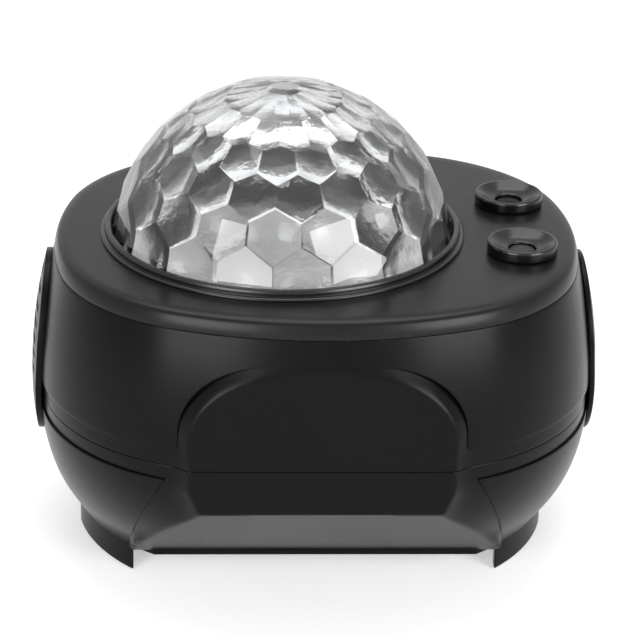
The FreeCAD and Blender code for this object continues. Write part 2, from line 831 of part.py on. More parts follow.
def make_upper_housing():
    """Upper half inside the arched shell, with facets, speaker seat and panel openings."""
    low = N.parting_z + N.joint_gap / 2
    top = COVER_LOW
    blocks = pads(low, N.shell_low_z - N.joint_gap)
    blocks += [pad.common(arch_prism(N.joint_gap, side)) for pad, side in zip(pads(low, top), (-1, 1))]
    body = trimmed(barrel(N.panel_recess, low, top).fuse(blocks), 0)
    ledge = barrel_skin(-N.overrun, N.shell_thickness + N.shell_gap,
                        N.shell_low_z - N.joint_gap, top + N.overrun)
    for side in (-1, 1):
        ledge = ledge.cut(arch_prism(N.joint_gap, side))
    body = body.cut(ledge)
    cavity = trimmed(barrel(CAVITY_INSET, low - N.overrun, top + N.overrun), N.flat_wall)
    body = body.cut(cavity)
    keep = barrel(N.shell_thickness + N.shell_gap, low, top)
    extras = []
    for x, y in corners_of(N.column_x, N.column_y):
        extras.append(post(N.column_radius, x, y, low, N.column_top_z))
        reach = math.copysign(N.column_rib_length, x)
        rib = box(min(x, x + reach), max(x, x + reach), y - N.column_rib / 2, y + N.column_rib / 2,
                  low, N.column_top_z)
        extras.append(rib)
    speaker_wall = rod(N.speaker_radius + N.shell_thickness, vector(-N.speaker_seat_x, 0, N.speaker_z),
                       vector(-1, 0, 0), N.body_half_width)
    extras.append(speaker_wall)
    back_wall = N.facet_y - N.flat_wall
    for side in (-1, 1):
        extras.append(rod(N.io_post_radius, vector(side * N.io_post_x, back_wall, N.port_z),
                          vector(0, -1, 0), back_wall - N.io_board_y - N.io_board_thickness))
    extras = [extra.common(keep) for extra in extras]
    body = body.fuse(extras)
    cuts = []
    for x, y in corners_of(N.column_x, N.column_y):
        cuts.append(post(N.screw_radius + N.screw_pilot_gap, x, y, low - N.overrun,
                         N.column_top_z - N.flat_wall))
    seat = vector(-N.speaker_seat_x, 0, N.speaker_z)
    cuts.append(rod(N.speaker_opening_radius, seat, vector(-1, 0, 0), N.body_half_width))
    cuts.append(rod(N.speaker_radius + N.shell_gap, seat, vector(1, 0, 0), N.speaker_depth))
    hole = N.port_clearance
    start = back_wall - N.overrun
    cuts.append(rod(N.inlet_nose_radius + hole, vector(N.inlet_x, start, N.port_z), vector(0, 1, 0),
                    N.facet_y))
    cuts.append(rod(N.button_radius + N.button_gap, vector(N.button_x, start, N.port_z),
                    vector(0, 1, 0), N.facet_y))
    cuts.append(box(N.usb_x - N.usb_half_width - hole, N.usb_x + N.usb_half_width + hole,
                    start, 2 * N.facet_y,
                    N.port_z - N.usb_half_height - hole, N.port_z + N.usb_half_height + hole))
    solid_node("upper_housing", body.cut(cuts))


def make_arched_shell():
    """Outer shell of the upper half, open in front and behind under two arches."""
    shell = barrel_skin(0, N.shell_thickness, N.shell_low_z, N.seam_z - N.joint_gap / 2)
    for side in (-1, 1):
        shell = shell.cut(arch_prism(0, side))
    opening = rod(N.speaker_opening_radius, vector(0, 0, N.speaker_z), vector(-1, 0, 0),
                  2 * N.body_half_width)
    solid_node("arched_shell", shell.cut(opening))


def make_skirt(name, side):
    """Lower side skirt with slanted ends and the foot wall that the object stands on."""
    skirt = barrel_skin(0, N.shell_thickness, N.skirt_low_z, N.skirt_top_z - N.joint_gap)
    skirt = skirt.common(skirt_zone(N.joint_gap, side))
    foot_top = N.skirt_low_z + N.overrun
    edge = outline_at(N.skirt_low_z, N.foot_step)
    outer = banded([(0.0, edge), (foot_top, edge)])
    edge = outline_at(N.skirt_low_z, N.foot_step + N.foot_wall)
    inner = banded([(-N.overrun, edge), (foot_top + N.overrun, edge)])
    far = 2 * N.body_half_width
    half = box(N.foot_half, far, -far, far, -N.overrun, foot_top + N.overrun)
    if side < 0:
        half = box(-far, -N.foot_half, -far, far, -N.overrun, foot_top + N.overrun)
    foot = outer.cut(inner).common(half)
    solid_node(name, fused([skirt, foot]))


def make_top_cover():
    """Flat deck with a rolled edge, the dome opening, two lens holes and screw bosses."""
    height = N.deck_z - COVER_LOW
    start = drop(COVER_LOW)

    def inset_at(z):
        share = (z - COVER_LOW) / height
        return start + N.deck_edge_inset * share ** DECK_EDGE_POWER_SHARE

    steps = [(k / DECK_EDGE_STEP_COUNT) ** (1 / 2) for k in range(DECK_EDGE_STEP_COUNT + 1)]
    heights = [COVER_LOW + height * step for step in steps]
    cover = banded([(z, offset_plan(inset_at(z))) for z in heights])
    inner = offset_plan(start + N.cover_wall)
    room = banded([(COVER_LOW - N.overrun, inner), (COVER_UNDERSIDE, inner)])
    cover = cover.cut(room)
    cover = cover.fuse([post(N.boss_radius, x, y, CHASSIS_TOP, COVER_UNDERSIDE) for x, y in BOSSES])
    cuts = [post(N.dome_opening_radius, N.dome_x, N.dome_y, COVER_LOW, N.deck_z + N.overrun)]
    for x, y in LENS_SPOTS.values():
        cuts.append(post(N.bezel_spigot_radius + N.shell_gap, x, y, COVER_LOW, N.deck_z + N.overrun))
    for x, y in BOSSES:
        cuts.append(post(N.screw_radius + N.screw_pilot_gap, x, y, CHASSIS_TOP - N.overrun,
                         CHASSIS_TOP + N.short_screw_length))
    for x, y in flange_screw_spots():
        cuts.append(post(N.small_screw_radius + N.screw_pilot_gap, x, y, COVER_UNDERSIDE - N.overrun,
                         COVER_UNDERSIDE + N.deck_thickness / 2 + N.screw_pilot_gap))
    solid_node("top_cover", cover.cut(cuts))


def flange_screw_spots():
    spots = []
    for k in range(FLANGE_SCREW_COUNT):
        angle = 2 * math.pi * (k + 1 / 2) / FLANGE_SCREW_COUNT
        spots.append((N.dome_x + N.flange_screw_circle * math.cos(angle),
                      N.dome_y + N.flange_screw_circle * math.sin(angle)))
    return spots


def make_side_plate(name, side, slotted):
    """Raised plate over the side of the body, round-ended, with sound slots on the left."""
    skin = barrel_skin(-N.plate_proud, -N.plate_gap, N.plate_low_z, N.plate_high_z)
    plate = skin.common(stadium_prism(N.plate_half_width, N.plate_low_z, N.plate_high_z, side))
    if slotted:
        end = N.slot_height / 2
        far = 2 * N.body_half_width
        bend_z = N.plate_high_z - N.plate_half_width
        slots = []
        for number in range(SLOT_COUNT):
            z = N.slot_low_z + number * N.slot_pitch
            reach = math.sqrt(N.plate_half_width ** 2 - max(0.0, z - bend_z) ** 2) - N.slot_margin
            slots.append(box(-far, 0, -reach, reach, z - end, z + end))
            for y in (-reach, reach):
                slots.append(rod(end, vector(0, y, z), vector(-1, 0, 0), far))
        plate = plate.cut(slots)
    solid_node(name, plate)


def make_base_cover():
    """Flat cover under the body, cut straight in front and behind, with board posts."""
    thick = N.base_thickness
    top = N.slope_low_z
    low = top - thick
    wide = outline_at(top, N.base_edge_inset)
    narrow = outline_at(N.skirt_low_z, N.foot_step + N.foot_wall + N.base_foot_gap)
    half = N.foot_half - N.base_foot_gap
    trim = N.slope_low_y
    middle = banded([(low, wide), (top, wide)]).common(
        box(-half, half, -trim, trim, low - N.overrun, top + N.overrun))
    plate = middle.fuse(banded([(low, narrow), (top, narrow)]).common(
        box(-N.body_half_width, N.body_half_width, -trim, trim, low - N.overrun, top + N.overrun)))
    posts = [post(N.board_post_radius, x, y, top - thick / 2, top + N.board_post_height)
             for x, y in corners_of(N.board_post_x, N.board_post_y)]
    plate = plate.fuse(posts)
    cuts = []
    for x, y in corners_of(N.base_screw_x, N.base_screw_y):
        cuts.append(post(N.screw_hole_radius, x, y, low - N.overrun, top + N.overrun))
    for x, y in corners_of(N.column_x, N.column_y):
        cuts.append(post(N.column_bore_radius, x, y, low - N.overrun, top + N.overrun))
    for x, y in corners_of(N.board_post_x, N.board_post_y):
        cuts.append(post(N.small_screw_radius + N.screw_pilot_gap, x, y, low + thick / 2,
                         top + N.board_post_height + N.overrun))
    solid_node("base_cover", plate.cut(cuts))


# Dome

def dome_corner(angle, own, other, own_share):
    """Radius and height where a row's facet edge meets the row above or below it."""
    a, b = math.radians(own), math.radians(other)
    m = own_share
    left = (math.sin(a) * m, math.cos(a))
    right = (math.sin(b), math.cos(b))
    det = left[0] * right[1] - left[1] * right[0]
    radius = N.dome_radius * (right[1] - left[1]) / det
    height = N.dome_radius * (left[0] - right[0]) / det
    return vector(N.dome_x + radius * math.sin(angle), N.dome_y - radius * math.cos(angle),
                  N.dome_centre_z + height)


def level_corner(angle, own, own_share, z):
    """Where a facet edge reaches a level height."""
    a = math.radians(own)
    radius = (N.dome_radius - (z - N.dome_centre_z) * math.cos(a)) / (math.sin(a) * own_share)
    return vector(N.dome_x + radius * math.sin(angle), N.dome_y - radius * math.cos(angle), z)


def dome_solid(low_z):
    """Closed solid of staggered six-sided facets, each tangent to one sphere."""
    rows = list(DOME_ROW_ANGLES) + [DOME_CAP_ANGLE]
    pitch = 2 * math.pi / DOME_FACET_COUNT
    share = math.cos(pitch / 2)
    faces = []
    low_ring = []
    high_ring = []
    for row, own in enumerate(rows):
        stagger = (row % 2) * pitch / 2
        for k in range(DOME_FACET_COUNT):
            centre = math.radians(DOME_TURN_ANGLE) + stagger + k * pitch
            left = centre - pitch / 2
            right = centre + pitch / 2
            if row == 0:
                corners = [level_corner(left, own, share, low_z), level_corner(right, own, share, low_z)]
                low_ring.append(corners[0])
            else:
                below = rows[row - 1]
                corners = [
                    dome_corner(left, own, below, share),
                    dome_corner(centre, below, own, share),
                    dome_corner(right, own, below, share),
                ]
            if row == len(rows) - 1:
                corners += [level_corner(right, own, share, N.dome_top_z),
                            level_corner(left, own, share, N.dome_top_z)]
                high_ring.append(corners[-1])
            else:
                above = rows[row + 1]
                corners += [
                    dome_corner(right, own, above, share),
                    dome_corner(centre, above, own, share),
                    dome_corner(left, own, above, share),
                ]
            faces.append(Part.Face(Part.makePolygon(corners + corners[:1])))
    faces.append(Part.Face(Part.makePolygon(low_ring + low_ring[:1])))
    faces.append(Part.Face(Part.makePolygon(high_ring + high_ring[:1])))
    shell = Part.Shell(faces)
    shell.sewShape()
    solid = Part.Solid(shell)
    if solid.Volume < 0:
        solid.reverse()
    return solid


def make_dome():
    """Clear dome: flat facets outside, a smooth round room inside, a screwed flange below."""
    low = COVER_UNDERSIDE - N.flange_thickness
    centre = vector(N.dome_x, N.dome_y, N.dome_centre_z)
    outer = dome_solid(low)
    room = Part.makeSphere(N.dome_inner_radius, centre)
    flange = post(N.flange_radius, N.dome_x, N.dome_y, low, COVER_UNDERSIDE)
    whole = outer.fuse(flange).cut([room, post(N.dome_inner_radius, N.dome_x, N.dome_y,
                                               low - N.overrun, N.dome_centre_z)])
    holes = [post(N.small_screw_radius + N.shell_gap, x, y, low - N.overrun, COVER_UNDERSIDE + N.overrun)
             for x, y in flange_screw_spots()]
    solid_node("faceted_dome", whole.cut(holes))


def make_dome_ring():
    """Stepped trim ring on the deck around the dome, with a spigot in the opening."""
    spigot = S.deck_thickness
    turned("dome_ring", [
        (S.ring_root_radius, -spigot),
        (S.ring_spigot_radius, -spigot),
        (S.ring_spigot_radius, 0),
        (S.ring_ledge_radius, 0),
        (S.ring_ledge_radius, S.ring_ledge_height),
        (S.ring_lip_radius, S.ring_ledge_height),
        (S.ring_lip_radius, S.ring_lip_height - S.ring_ledge_height / 2),
        (S.ring_lip_radius - S.ring_ledge_height / 2, S.ring_lip_height),
        (S.ring_inner_radius, S.ring_lip_height),
    ], S.dome_x, S.dome_y, S.deck_z)


# Lenses

def make_lens(where):
    """Dished bezel on the deck and the glass window in its throat."""
    y = LENS_SIZES[where]
    rim = S.bezel_height
    throat = rim - S.bezel_dish_depth
    seat = -(S.bezel_spigot_depth - S.window_thickness)
    turned(where + "_lens_bezel", [
        (S.bezel_hole_radius, seat),
        (S.window_radius + S.shell_gap, seat),
        (S.window_radius + S.shell_gap, -S.bezel_spigot_depth),
        (S.bezel_spigot_radius, -S.bezel_spigot_depth),
        (S.bezel_spigot_radius, 0),
        (S.bezel_radius, 0),
        (S.bezel_radius, rim - S.bezel_rim_width - S.bezel_groove),
        (S.bezel_radius - S.bezel_groove, rim - S.bezel_rim_width),
        (S.bezel_radius, rim - S.bezel_rim_width + S.bezel_groove),
        (S.bezel_radius, rim - S.bezel_groove),
        (S.bezel_radius - S.bezel_rim_width / 2, rim),
        (S.bezel_radius - S.bezel_rim_width, rim - S.bezel_groove / 2),
        (S.bezel_hole_radius, throat),
    ], S.lens_x, y, S.deck_z)
    window_low = -S.bezel_spigot_depth
    turned(where + "_lens_window", [
        (0, window_low),
        (S.window_radius, window_low),
        (S.window_radius, seat),
        (0, seat),
    ], S.lens_x, y, S.deck_z)


# Speaker

def make_speaker():
    """Small loudspeaker that looks out to the left: frame, cone with its surround, magnet."""
    facing = FreeCAD.Rotation(vector(0, 1, 0), -90)
    seat = S.speaker_seat_x
    wall = S.speaker_rim_thickness
    rim = seat - wall
    back = rim - S.speaker_depth + S.magnet_thickness
    step = S.speaker_ledge
    turned("speaker_frame", [
        (S.cone_radius - step, rim),
        (S.cone_radius + S.end_gap, rim),
        (S.cone_radius + S.end_gap, seat),
        (S.speaker_radius, seat),
        (S.speaker_radius, rim),
        (S.cone_radius + wall, rim),
        (S.magnet_radius, back),
        (S.cone_neck_radius + wall, back),
        (S.cone_neck_radius + wall, back + wall),
        (S.magnet_radius - wall, back + wall),
        (S.cone_radius - step, rim - wall - step),
    ], 0, 0, S.speaker_z, facing)
    paper = S.cone_thickness
    fold = rim - S.cone_depth
    turned("speaker_cone", [
        (0, fold + paper),
        (S.cone_neck_radius - paper, fold + paper),
        (S.cone_radius - step * 2, rim + paper),
        (S.cone_radius, rim + paper),
        (S.cone_radius, rim),
        (S.cone_radius - step * 1.5, rim),
        (S.cone_neck_radius, fold),
        (S.cone_neck_radius, back + S.end_gap),
        (S.cone_neck_radius - paper, back + S.end_gap),
        (S.cone_neck_radius - paper, fold),
        (0, fold),
    ], 0, 0, S.speaker_z, facing)
    turned("speaker_magnet", [
        (0, back - S.magnet_thickness),
        (S.magnet_radius, back - S.magnet_thickness),
        (S.magnet_radius, back),
        (0, back),
    ], 0, 0, S.speaker_z, facing)


# Chassis and light engine

def make_chassis():
    """Flat plate under the gears, notched for the speaker and screwed to the cover's bosses."""
    left = S.chassis_left
    right = S.chassis_right
    notch = S.chassis_notch_x
    deep = S.chassis_half_depth
    front = [
        (left, -S.chassis_left_half),
        (S.chassis_left_bend, -deep),
        (S.chassis_shoulder_x, -deep),
        (S.chassis_right_bend, -S.chassis_right_shoulder),
        (right, -S.chassis_right_half),
    ]
    back = [(x, -y) for x, y in reversed(front)]
    inner = [(left, S.chassis_notch_half), (notch, S.chassis_notch_half),
             (notch, -S.chassis_notch_half), (left, -S.chassis_notch_half)]
    holes = [(x, sign, S.screw_hole_radius)
             for x in (S.boss_left_x, S.boss_right_x) for sign in (S.boss_y, -S.boss_y)]
    for where in LENS_SPOTS:
        holes.append((S.lens_x, LENS_SIZES[where], S.laser_radius + S.shell_gap))
    body = flat_plate("chassis_plate", front + back + inner, S.chassis_z, S.chassis_thickness, holes)
    doc.recompute()
    for name, x, y, radius in (
            ("ripple_pin_seat", S.dome_x, S.dome_y, S.pin_radius),
            ("idler_pin_seat", S.idler_x, S.idler_y, S.pin_radius),
            ("centre_pin_seat", S.lens_x, S.lens_mid_y, S.pin_radius),
            ("shaft_hole", S.pinion_x, S.pinion_y, S.pin_collar_radius)):
        sketch = new_sketch(body, name, "XY_Plane")
        round_hole(sketch, x, y, radius)
        pocket = body.newObject("PartDesign::Pocket", name + "_cut")
        pocket.Profile = sketch
        pocket.Reversed = True
        pocket.setExpression("Length", (S.chassis_thickness + S.overrun).text)


def make_led_board():
    """Round board on the chassis with four light chips and their lens caps."""
    turned("led_board", [
        (S.pin_collar_radius + S.shell_gap, 0),
        (S.led_board_radius, 0),
        (S.led_board_radius, S.led_board_thickness),
        (S.pin_collar_radius + S.shell_gap, S.led_board_thickness),
    ], S.dome_x, S.dome_y, S.chassis_z + S.chassis_thickness)
    top = CHASSIS_TOP + N.led_board_thickness
    chips = []
    caps = []
    for k in range(LED_COUNT):
        angle = 2 * math.pi * (k + 1 / 2) / LED_COUNT
        x = N.dome_x + N.led_circle * math.cos(angle)
        y = N.dome_y + N.led_circle * math.sin(angle)
        half = N.led_side / 2
        chip = box(x - half, x + half, y - half, y + half, top, top + N.led_height)
        chips.append(chip)
        steps = [math.pi / 2 * step / LED_CAP_STEP_COUNT for step in range(LED_CAP_STEP_COUNT + 1)]
        section = [vector(0, 0, 0)]
        section += [vector(N.led_lens_radius * math.cos(a), 0, N.led_lens_radius * math.sin(a)) for a in steps]
        cap = Part.Face(Part.makePolygon(section + section[:1])).revolve(HERE, UP, FULL_TURN)
        cap.translate(vector(x, y, top))
        caps.append(cap.cut(chip))
    solid_node("led_chips", Part.makeCompound(chips))
    solid_node("led_lens_caps", Part.makeCompound(caps))


def make_heat_sink():
    """Finned block under the chassis, below the light board."""
    top = N.chassis_z
    base = post(N.heat_sink_radius, N.dome_x, N.dome_y, top - N.heat_sink_base, top)
    round_block = post(N.heat_sink_radius, N.dome_x, N.dome_y, top - N.heat_sink_height, top)
    fins = []
    for k in range(FIN_COUNT):
        x = N.dome_x + (k - (FIN_COUNT - 1) / 2) * N.fin_pitch
        half = N.fin_thickness / 2
        fins.append(box(x - half, x + half, N.dome_y - N.heat_sink_radius,
                        N.dome_y + N.heat_sink_radius, top - N.heat_sink_height, top))
    fins = Part.makeCompound(fins).common(round_block)
    block = base.fuse(fins.Solids)
    pin_room = post(N.pin_radius + N.shell_gap, N.dome_x, N.dome_y, top - N.heat_sink_height - N.overrun,
                    top + N.overrun)
    solid_node("heat_sink", block.cut(pin_room))


def make_pins():
    """Fixed steel pins for the ripple wheel, the idler and the centre gear, and their clips."""
    chassis_top = S.chassis_z + S.chassis_thickness
    clip_low = S.gear_z + S.hub_thickness + S.end_gap
    clips = []
    for name, x, y in (
            ("ripple_pin", S.dome_x, S.dome_y),
            ("idler_pin", S.idler_x, S.idler_y),
            ("centre_pin", S.lens_x, S.lens_mid_y)):
        turned(name, [
            (0, S.chassis_z),
            (S.pin_radius, S.chassis_z),
            (S.pin_radius, chassis_top),
            (S.pin_collar_radius, chassis_top),
            (S.pin_collar_radius, S.gear_z - S.end_gap),
            (S.pin_radius, S.gear_z - S.end_gap),
            (S.pin_radius, clip_low + S.clip_thickness * 2),
            (0, clip_low + S.clip_thickness * 2),
        ], x, y, 0)
        low = clip_low.value
        clip = post(N.clip_radius, x, y, low, low + N.clip_thickness)
        clips.append(clip.cut(post(N.pin_radius, x, y, low - N.overrun, low + N.overrun)))
    solid_node("retaining_clips", Part.makeCompound(clips))


def ripple_rim_radius():
    """Where the toothed rim meets the disc."""
    return S.ripple_pitch_radius - S.gear_module * DEDENDUM_SHARE - S.rim_width


def make_ripple_wheel():
    """Clear disc with raised water rings and a toothed rim, on the dome's centre pin."""
    seat = ripple_rim_radius()
    rim = gear_face(RIPPLE_TEETH_COUNT, 0.0).extrude(vector(0, 0, N.gear_thickness))
    rim = rim.cut(post(seat, 0, 0, -N.overrun, N.gear_thickness + N.overrun))
    gear_node("ripple_gear_rim", rim, S.dome_x, S.dome_y)
    bore = S.pin_radius + S.running_gap
    reach = seat - S.ripple_hub_radius
    low = S.ripple_disc_z
    high = low + S.ripple_disc_thickness
    crest = high + S.ripple_rise
    points = [(bore, S.gear_z), (S.ripple_hub_radius, S.gear_z), (S.ripple_hub_radius, low), (seat, low),
              (seat, high)]
    for k in range(RIPPLE_RING_COUNT):
        for part, level in ((1 / 4, high), (1 / 2, crest), (3 / 4, high)):
            points.append((seat - reach * ((k + part) / RIPPLE_RING_COUNT), level))
    top = S.gear_z + S.hub_thickness
    points += [(S.ripple_hub_radius, high), (S.ripple_hub_radius, top), (bore, top)]
    turned("ripple_disc", points, S.dome_x, S.dome_y, 0)


def gear_node(name, shape, x, y):
    """A gear made on its own axis and held by the sheet at its place in the train."""
    item = solid_node(name, shape)
    for axis, size in (("x", x), ("y", y), ("z", S.gear_z)):
        item.setExpression("Placement.Base." + axis, size.text)


def make_gears():
    """Pinion, idler, centre gear and the two grating wheels, all in mesh."""
    bore = N.pin_radius + N.running_gap
    hub = post(2 * N.pin_radius, 0, 0, 0, N.hub_thickness)
    phase = mesh_phase(RIPPLE, 0.0, RIPPLE_TEETH_COUNT, PINION, PINION_TEETH_COUNT)
    gear_node("motor_pinion", gear_solid(PINION_TEETH_COUNT, phase, N.shaft_radius), S.pinion_x, S.pinion_y)
    phase = mesh_phase(PINION, phase, PINION_TEETH_COUNT, IDLER, IDLER_TEETH_COUNT)
    gear_node("idler_gear", gear_solid(IDLER_TEETH_COUNT, phase, bore, [hub]), S.idler_x, S.idler_y)
    phase = mesh_phase(IDLER, phase, IDLER_TEETH_COUNT, LENS_MIDDLE, CENTRE_TEETH_COUNT)
    gear_node("centre_gear", gear_solid(CENTRE_TEETH_COUNT, phase, bore, [hub]), S.lens_x, S.lens_mid_y)
    collar = post(N.film_radius + N.film_rim, 0, 0, 0, N.hub_thickness)
    seat = post(N.film_radius, 0, 0, N.hub_thickness - 2 * N.film_thickness, N.hub_thickness + N.overrun)
    for where, spot in LENS_SPOTS.items():
        turn = mesh_phase(LENS_MIDDLE, phase, CENTRE_TEETH_COUNT, spot, GRATING_TEETH_COUNT)
        wheel = gear_solid(GRATING_TEETH_COUNT, turn, N.holder_neck_radius + N.running_gap, [collar])
        gear_node(where + "_grating_wheel", wheel.cut(seat), S.lens_x, LENS_SIZES[where])
        low = S.gear_z + S.hub_thickness - S.film_thickness * 2
        turned(where + "_grating_film", [
            (0, low),
            (S.film_radius, low),
            (S.film_radius, low + S.film_thickness),
            (0, low + S.film_thickness),
        ], S.lens_x, LENS_SIZES[where], 0)


def make_motor():
    """Geared motor under the chassis with two screw ears, and its shaft."""
    top = S.chassis_z
    low = top - S.motor_height
    bore = S.shaft_radius + S.running_gap
    shaft_low = top - S.motor_height / 2
    body = turned("drive_motor", [
        (0, low),
        (S.motor_radius, low),
        (S.motor_radius, top),
        (bore, top),
        (bore, shaft_low),
        (0, shaft_low),
    ], S.pinion_x, S.pinion_y, 0)
    sketch = new_sketch(body, "motor_ears_outline", "XY_Plane", top - S.motor_ear_thickness)
    half = S.motor_ear_width / 2
    end = S.motor_ear_length + half
    inner = S.motor_radius - half / 2
    for side in (1, -1):
        outline(sketch, [
            (half, inner * side),
            (half, (end - half) * side),
            (half / 2, end * side),
            (-half / 2, end * side),
            (-half, (end - half) * side),
            (-half, inner * side),
        ])
        round_hole(sketch, 0, S.motor_ear_length * side, S.small_screw_radius + S.shell_gap)
    pad = body.newObject("PartDesign::Pad", "motor_ears_pad")
    pad.Profile = sketch
    pad.setExpression("Length", S.motor_ear_thickness.text)
    turned("motor_shaft", [
        (0, shaft_low + S.end_gap),
        (S.shaft_radius, shaft_low + S.end_gap),
        (S.shaft_radius, S.gear_z + S.gear_thickness),
        (0, S.gear_z + S.gear_thickness),
    ], S.pinion_x, S.pinion_y, 0)


def make_laser(where):
    """Laser module in a flanged holder whose neck carries the grating wheel."""
    y = LENS_SIZES[where]
    base = S.chassis_z + S.chassis_thickness
    shoulder = S.gear_z - S.end_gap
    neck_top = S.gear_z + S.gear_thickness
    bore = S.laser_radius + S.running_gap
    turned(where + "_laser_holder", [
        (bore, base),
        (S.holder_flange_radius, base),
        (S.holder_flange_radius, base + S.holder_flange_thickness),
        (S.holder_tube_radius, base + S.holder_flange_thickness),
        (S.holder_tube_radius, shoulder),
        (S.holder_neck_radius, shoulder),
        (S.holder_neck_radius, neck_top),
        (bore, neck_top),
    ], S.lens_x, y, 0)
    low = S.laser_top_z - S.laser_length
    wide = S.laser_radius
    turned(where + "_laser_module", [
        (0, low),
        (wide * 0.8, low),
        (wide, low + wide * 0.2),
        (wide, S.laser_top_z),
        (wide * 0.5, S.laser_top_z),
        (wide * 0.5, S.laser_top_z - wide * 0.4),
        (0, S.laser_top_z - wide * 0.4),
    ], S.lens_x, y, 0)


# Boards

def make_boards():
    """Main board on the base cover's posts, with its parts, and the touch key board."""
    post_top = S.slope_low_z + S.board_post_height
    holes = [(x, y, S.small_screw_radius + S.shell_gap)
             for x in (-S.board_post_x, S.board_post_x) for y in (-S.board_post_y, S.board_post_y)]
    flat_plate("main_board", rectangle(S.board_half_width, S.board_half_depth), post_top,
               S.board_thickness, holes)
    top = N.slope_low_z + N.board_post_height + N.board_thickness
    half = N.chip_side / 2
    parts = []
    for share_x, share_y in ((-0.3, 0.2), (0.25, -0.25)):
        x = share_x * N.board_half_width
        y = share_y * N.board_half_depth
        parts.append(box(x - half, x + half, y - half, y + half, top, top + N.chip_height))
    for share_x in (-0.1, 0.15):
        parts.append(post(N.capacitor_radius, share_x * N.board_half_width, 0.5 * N.board_half_depth, top,
                          top + N.capacitor_height))
    solid_node("board_parts", Part.makeCompound(parts))
    touch_low = S.deck_z - S.deck_thickness - S.touch_thickness
    flat_plate("touch_key_board", [
        (S.touch_left, S.touch_front_y),
        (S.touch_right, S.touch_front_y),
        (S.touch_right, S.touch_back_y),
        (S.touch_left, S.touch_back_y),
    ], touch_low, S.touch_thickness)


# Rear panel

def make_rear_panel():
    """Board behind the rear facet with the power socket, the data socket and the switch."""
    upright = FreeCAD.Rotation(vector(1, 0, 0), 90)
    board_back = S.io_board_y + S.io_board_thickness
    holes = [(x, 0, S.small_screw_radius + S.shell_gap) for x in (-S.io_post_x, S.io_post_x)]
    flat_plate("port_board", rectangle(S.io_board_half_width, S.io_board_half_height), S.port_z,
               S.io_board_thickness, holes, 0, board_back, upright)
    face = N.io_board_y + N.io_board_thickness
    outside = N.facet_y - N.port_clearance
    wall = N.facet_y - N.flat_wall - N.port_clearance
    towards = vector(0, 1, 0)
    half = N.inlet_body_half
    body = box(N.inlet_x - half, N.inlet_x + half, face, wall, N.port_z - half, N.port_z + half)
    nose = rod(N.inlet_nose_radius, vector(N.inlet_x, face + N.overrun, N.port_z), towards,
               outside - face - N.overrun)
    bore = rod(N.inlet_bore_radius, vector(N.inlet_x, outside - N.inlet_depth, N.port_z), towards,
               N.inlet_depth + N.overrun)
    pin = rod(N.inlet_pin_radius, vector(N.inlet_x, outside - N.inlet_depth - N.overrun, N.port_z),
              towards, N.inlet_depth)
    solid_node("power_inlet", body.fuse(nose).cut(bore).fuse(pin))
    wide, tall, skin = N.usb_half_width, N.usb_half_height, N.usb_skin
    can = box(N.usb_x - wide, N.usb_x + wide, face, outside, N.port_z - tall, N.port_z + tall)
    room = box(N.usb_x - wide + skin, N.usb_x + wide - skin, face + skin, outside + N.overrun,
               N.port_z - tall + skin, N.port_z + tall - skin)
    solid_node("usb_socket", can.cut(room))
    tongue = box(N.usb_x - wide + 3 * skin, N.usb_x + wide - 3 * skin, face + skin, outside - N.overrun,
                 N.port_z + tall - skin - N.usb_tongue_thickness - skin, N.port_z + tall - 2 * skin)
    solid_node("usb_tongue", tongue)
    half = N.switch_half
    plunger_y = wall - N.button_flange_thickness - N.button_travel - 2 * N.port_clearance
    switch = box(N.button_x - half, N.button_x + half, face, plunger_y - N.switch_plunger_length,
                 N.port_z - half, N.port_z + half)
    plunger = rod(N.switch_plunger_radius,
                  vector(N.button_x, plunger_y - N.switch_plunger_length - N.overrun, N.port_z), towards,
                  N.switch_plunger_length + N.overrun)
    solid_node("power_switch", fused([switch, plunger]))
    backwards = FreeCAD.Rotation(vector(1, 0, 0), -90)
    back_wall = S.facet_y - S.flat_wall - S.port_clearance
    crown = S.button_proud / 4
    turned("power_button", [
        (0, back_wall - S.button_flange_thickness),
        (S.button_flange_radius, back_wall - S.button_flange_thickness),
        (S.button_flange_radius, back_wall),
        (S.button_radius, back_wall),
        (S.button_radius, S.facet_y + S.button_proud - crown),
        (S.button_radius - crown, S.facet_y + S.button_proud),
        (0, S.facet_y + S.button_proud),
    ], S.button_x, 0, S.port_z, backwards)


# Screws

def screw(spot, head_low, length, radius, head_radius, direction):
    """A pan-head screw whose head starts at a height and whose shank runs one way."""
    x, y = spot
    head = post(head_radius, 0, 0, 0, N.screw_head_height)
    shank = post(radius, 0, 0, N.screw_head_height, N.screw_head_height + length)
    recess = post(N.screw_recess_radius * head_radius / N.screw_head_radius, 0, 0, -N.overrun,
                  N.screw_recess_depth)
    whole = head.fuse(shank).cut(recess)
    if direction < 0:
        whole.rotate(HERE, vector(1, 0, 0), HALF_TURN)
    whole.translate(vector(x, y, head_low))
    return whole


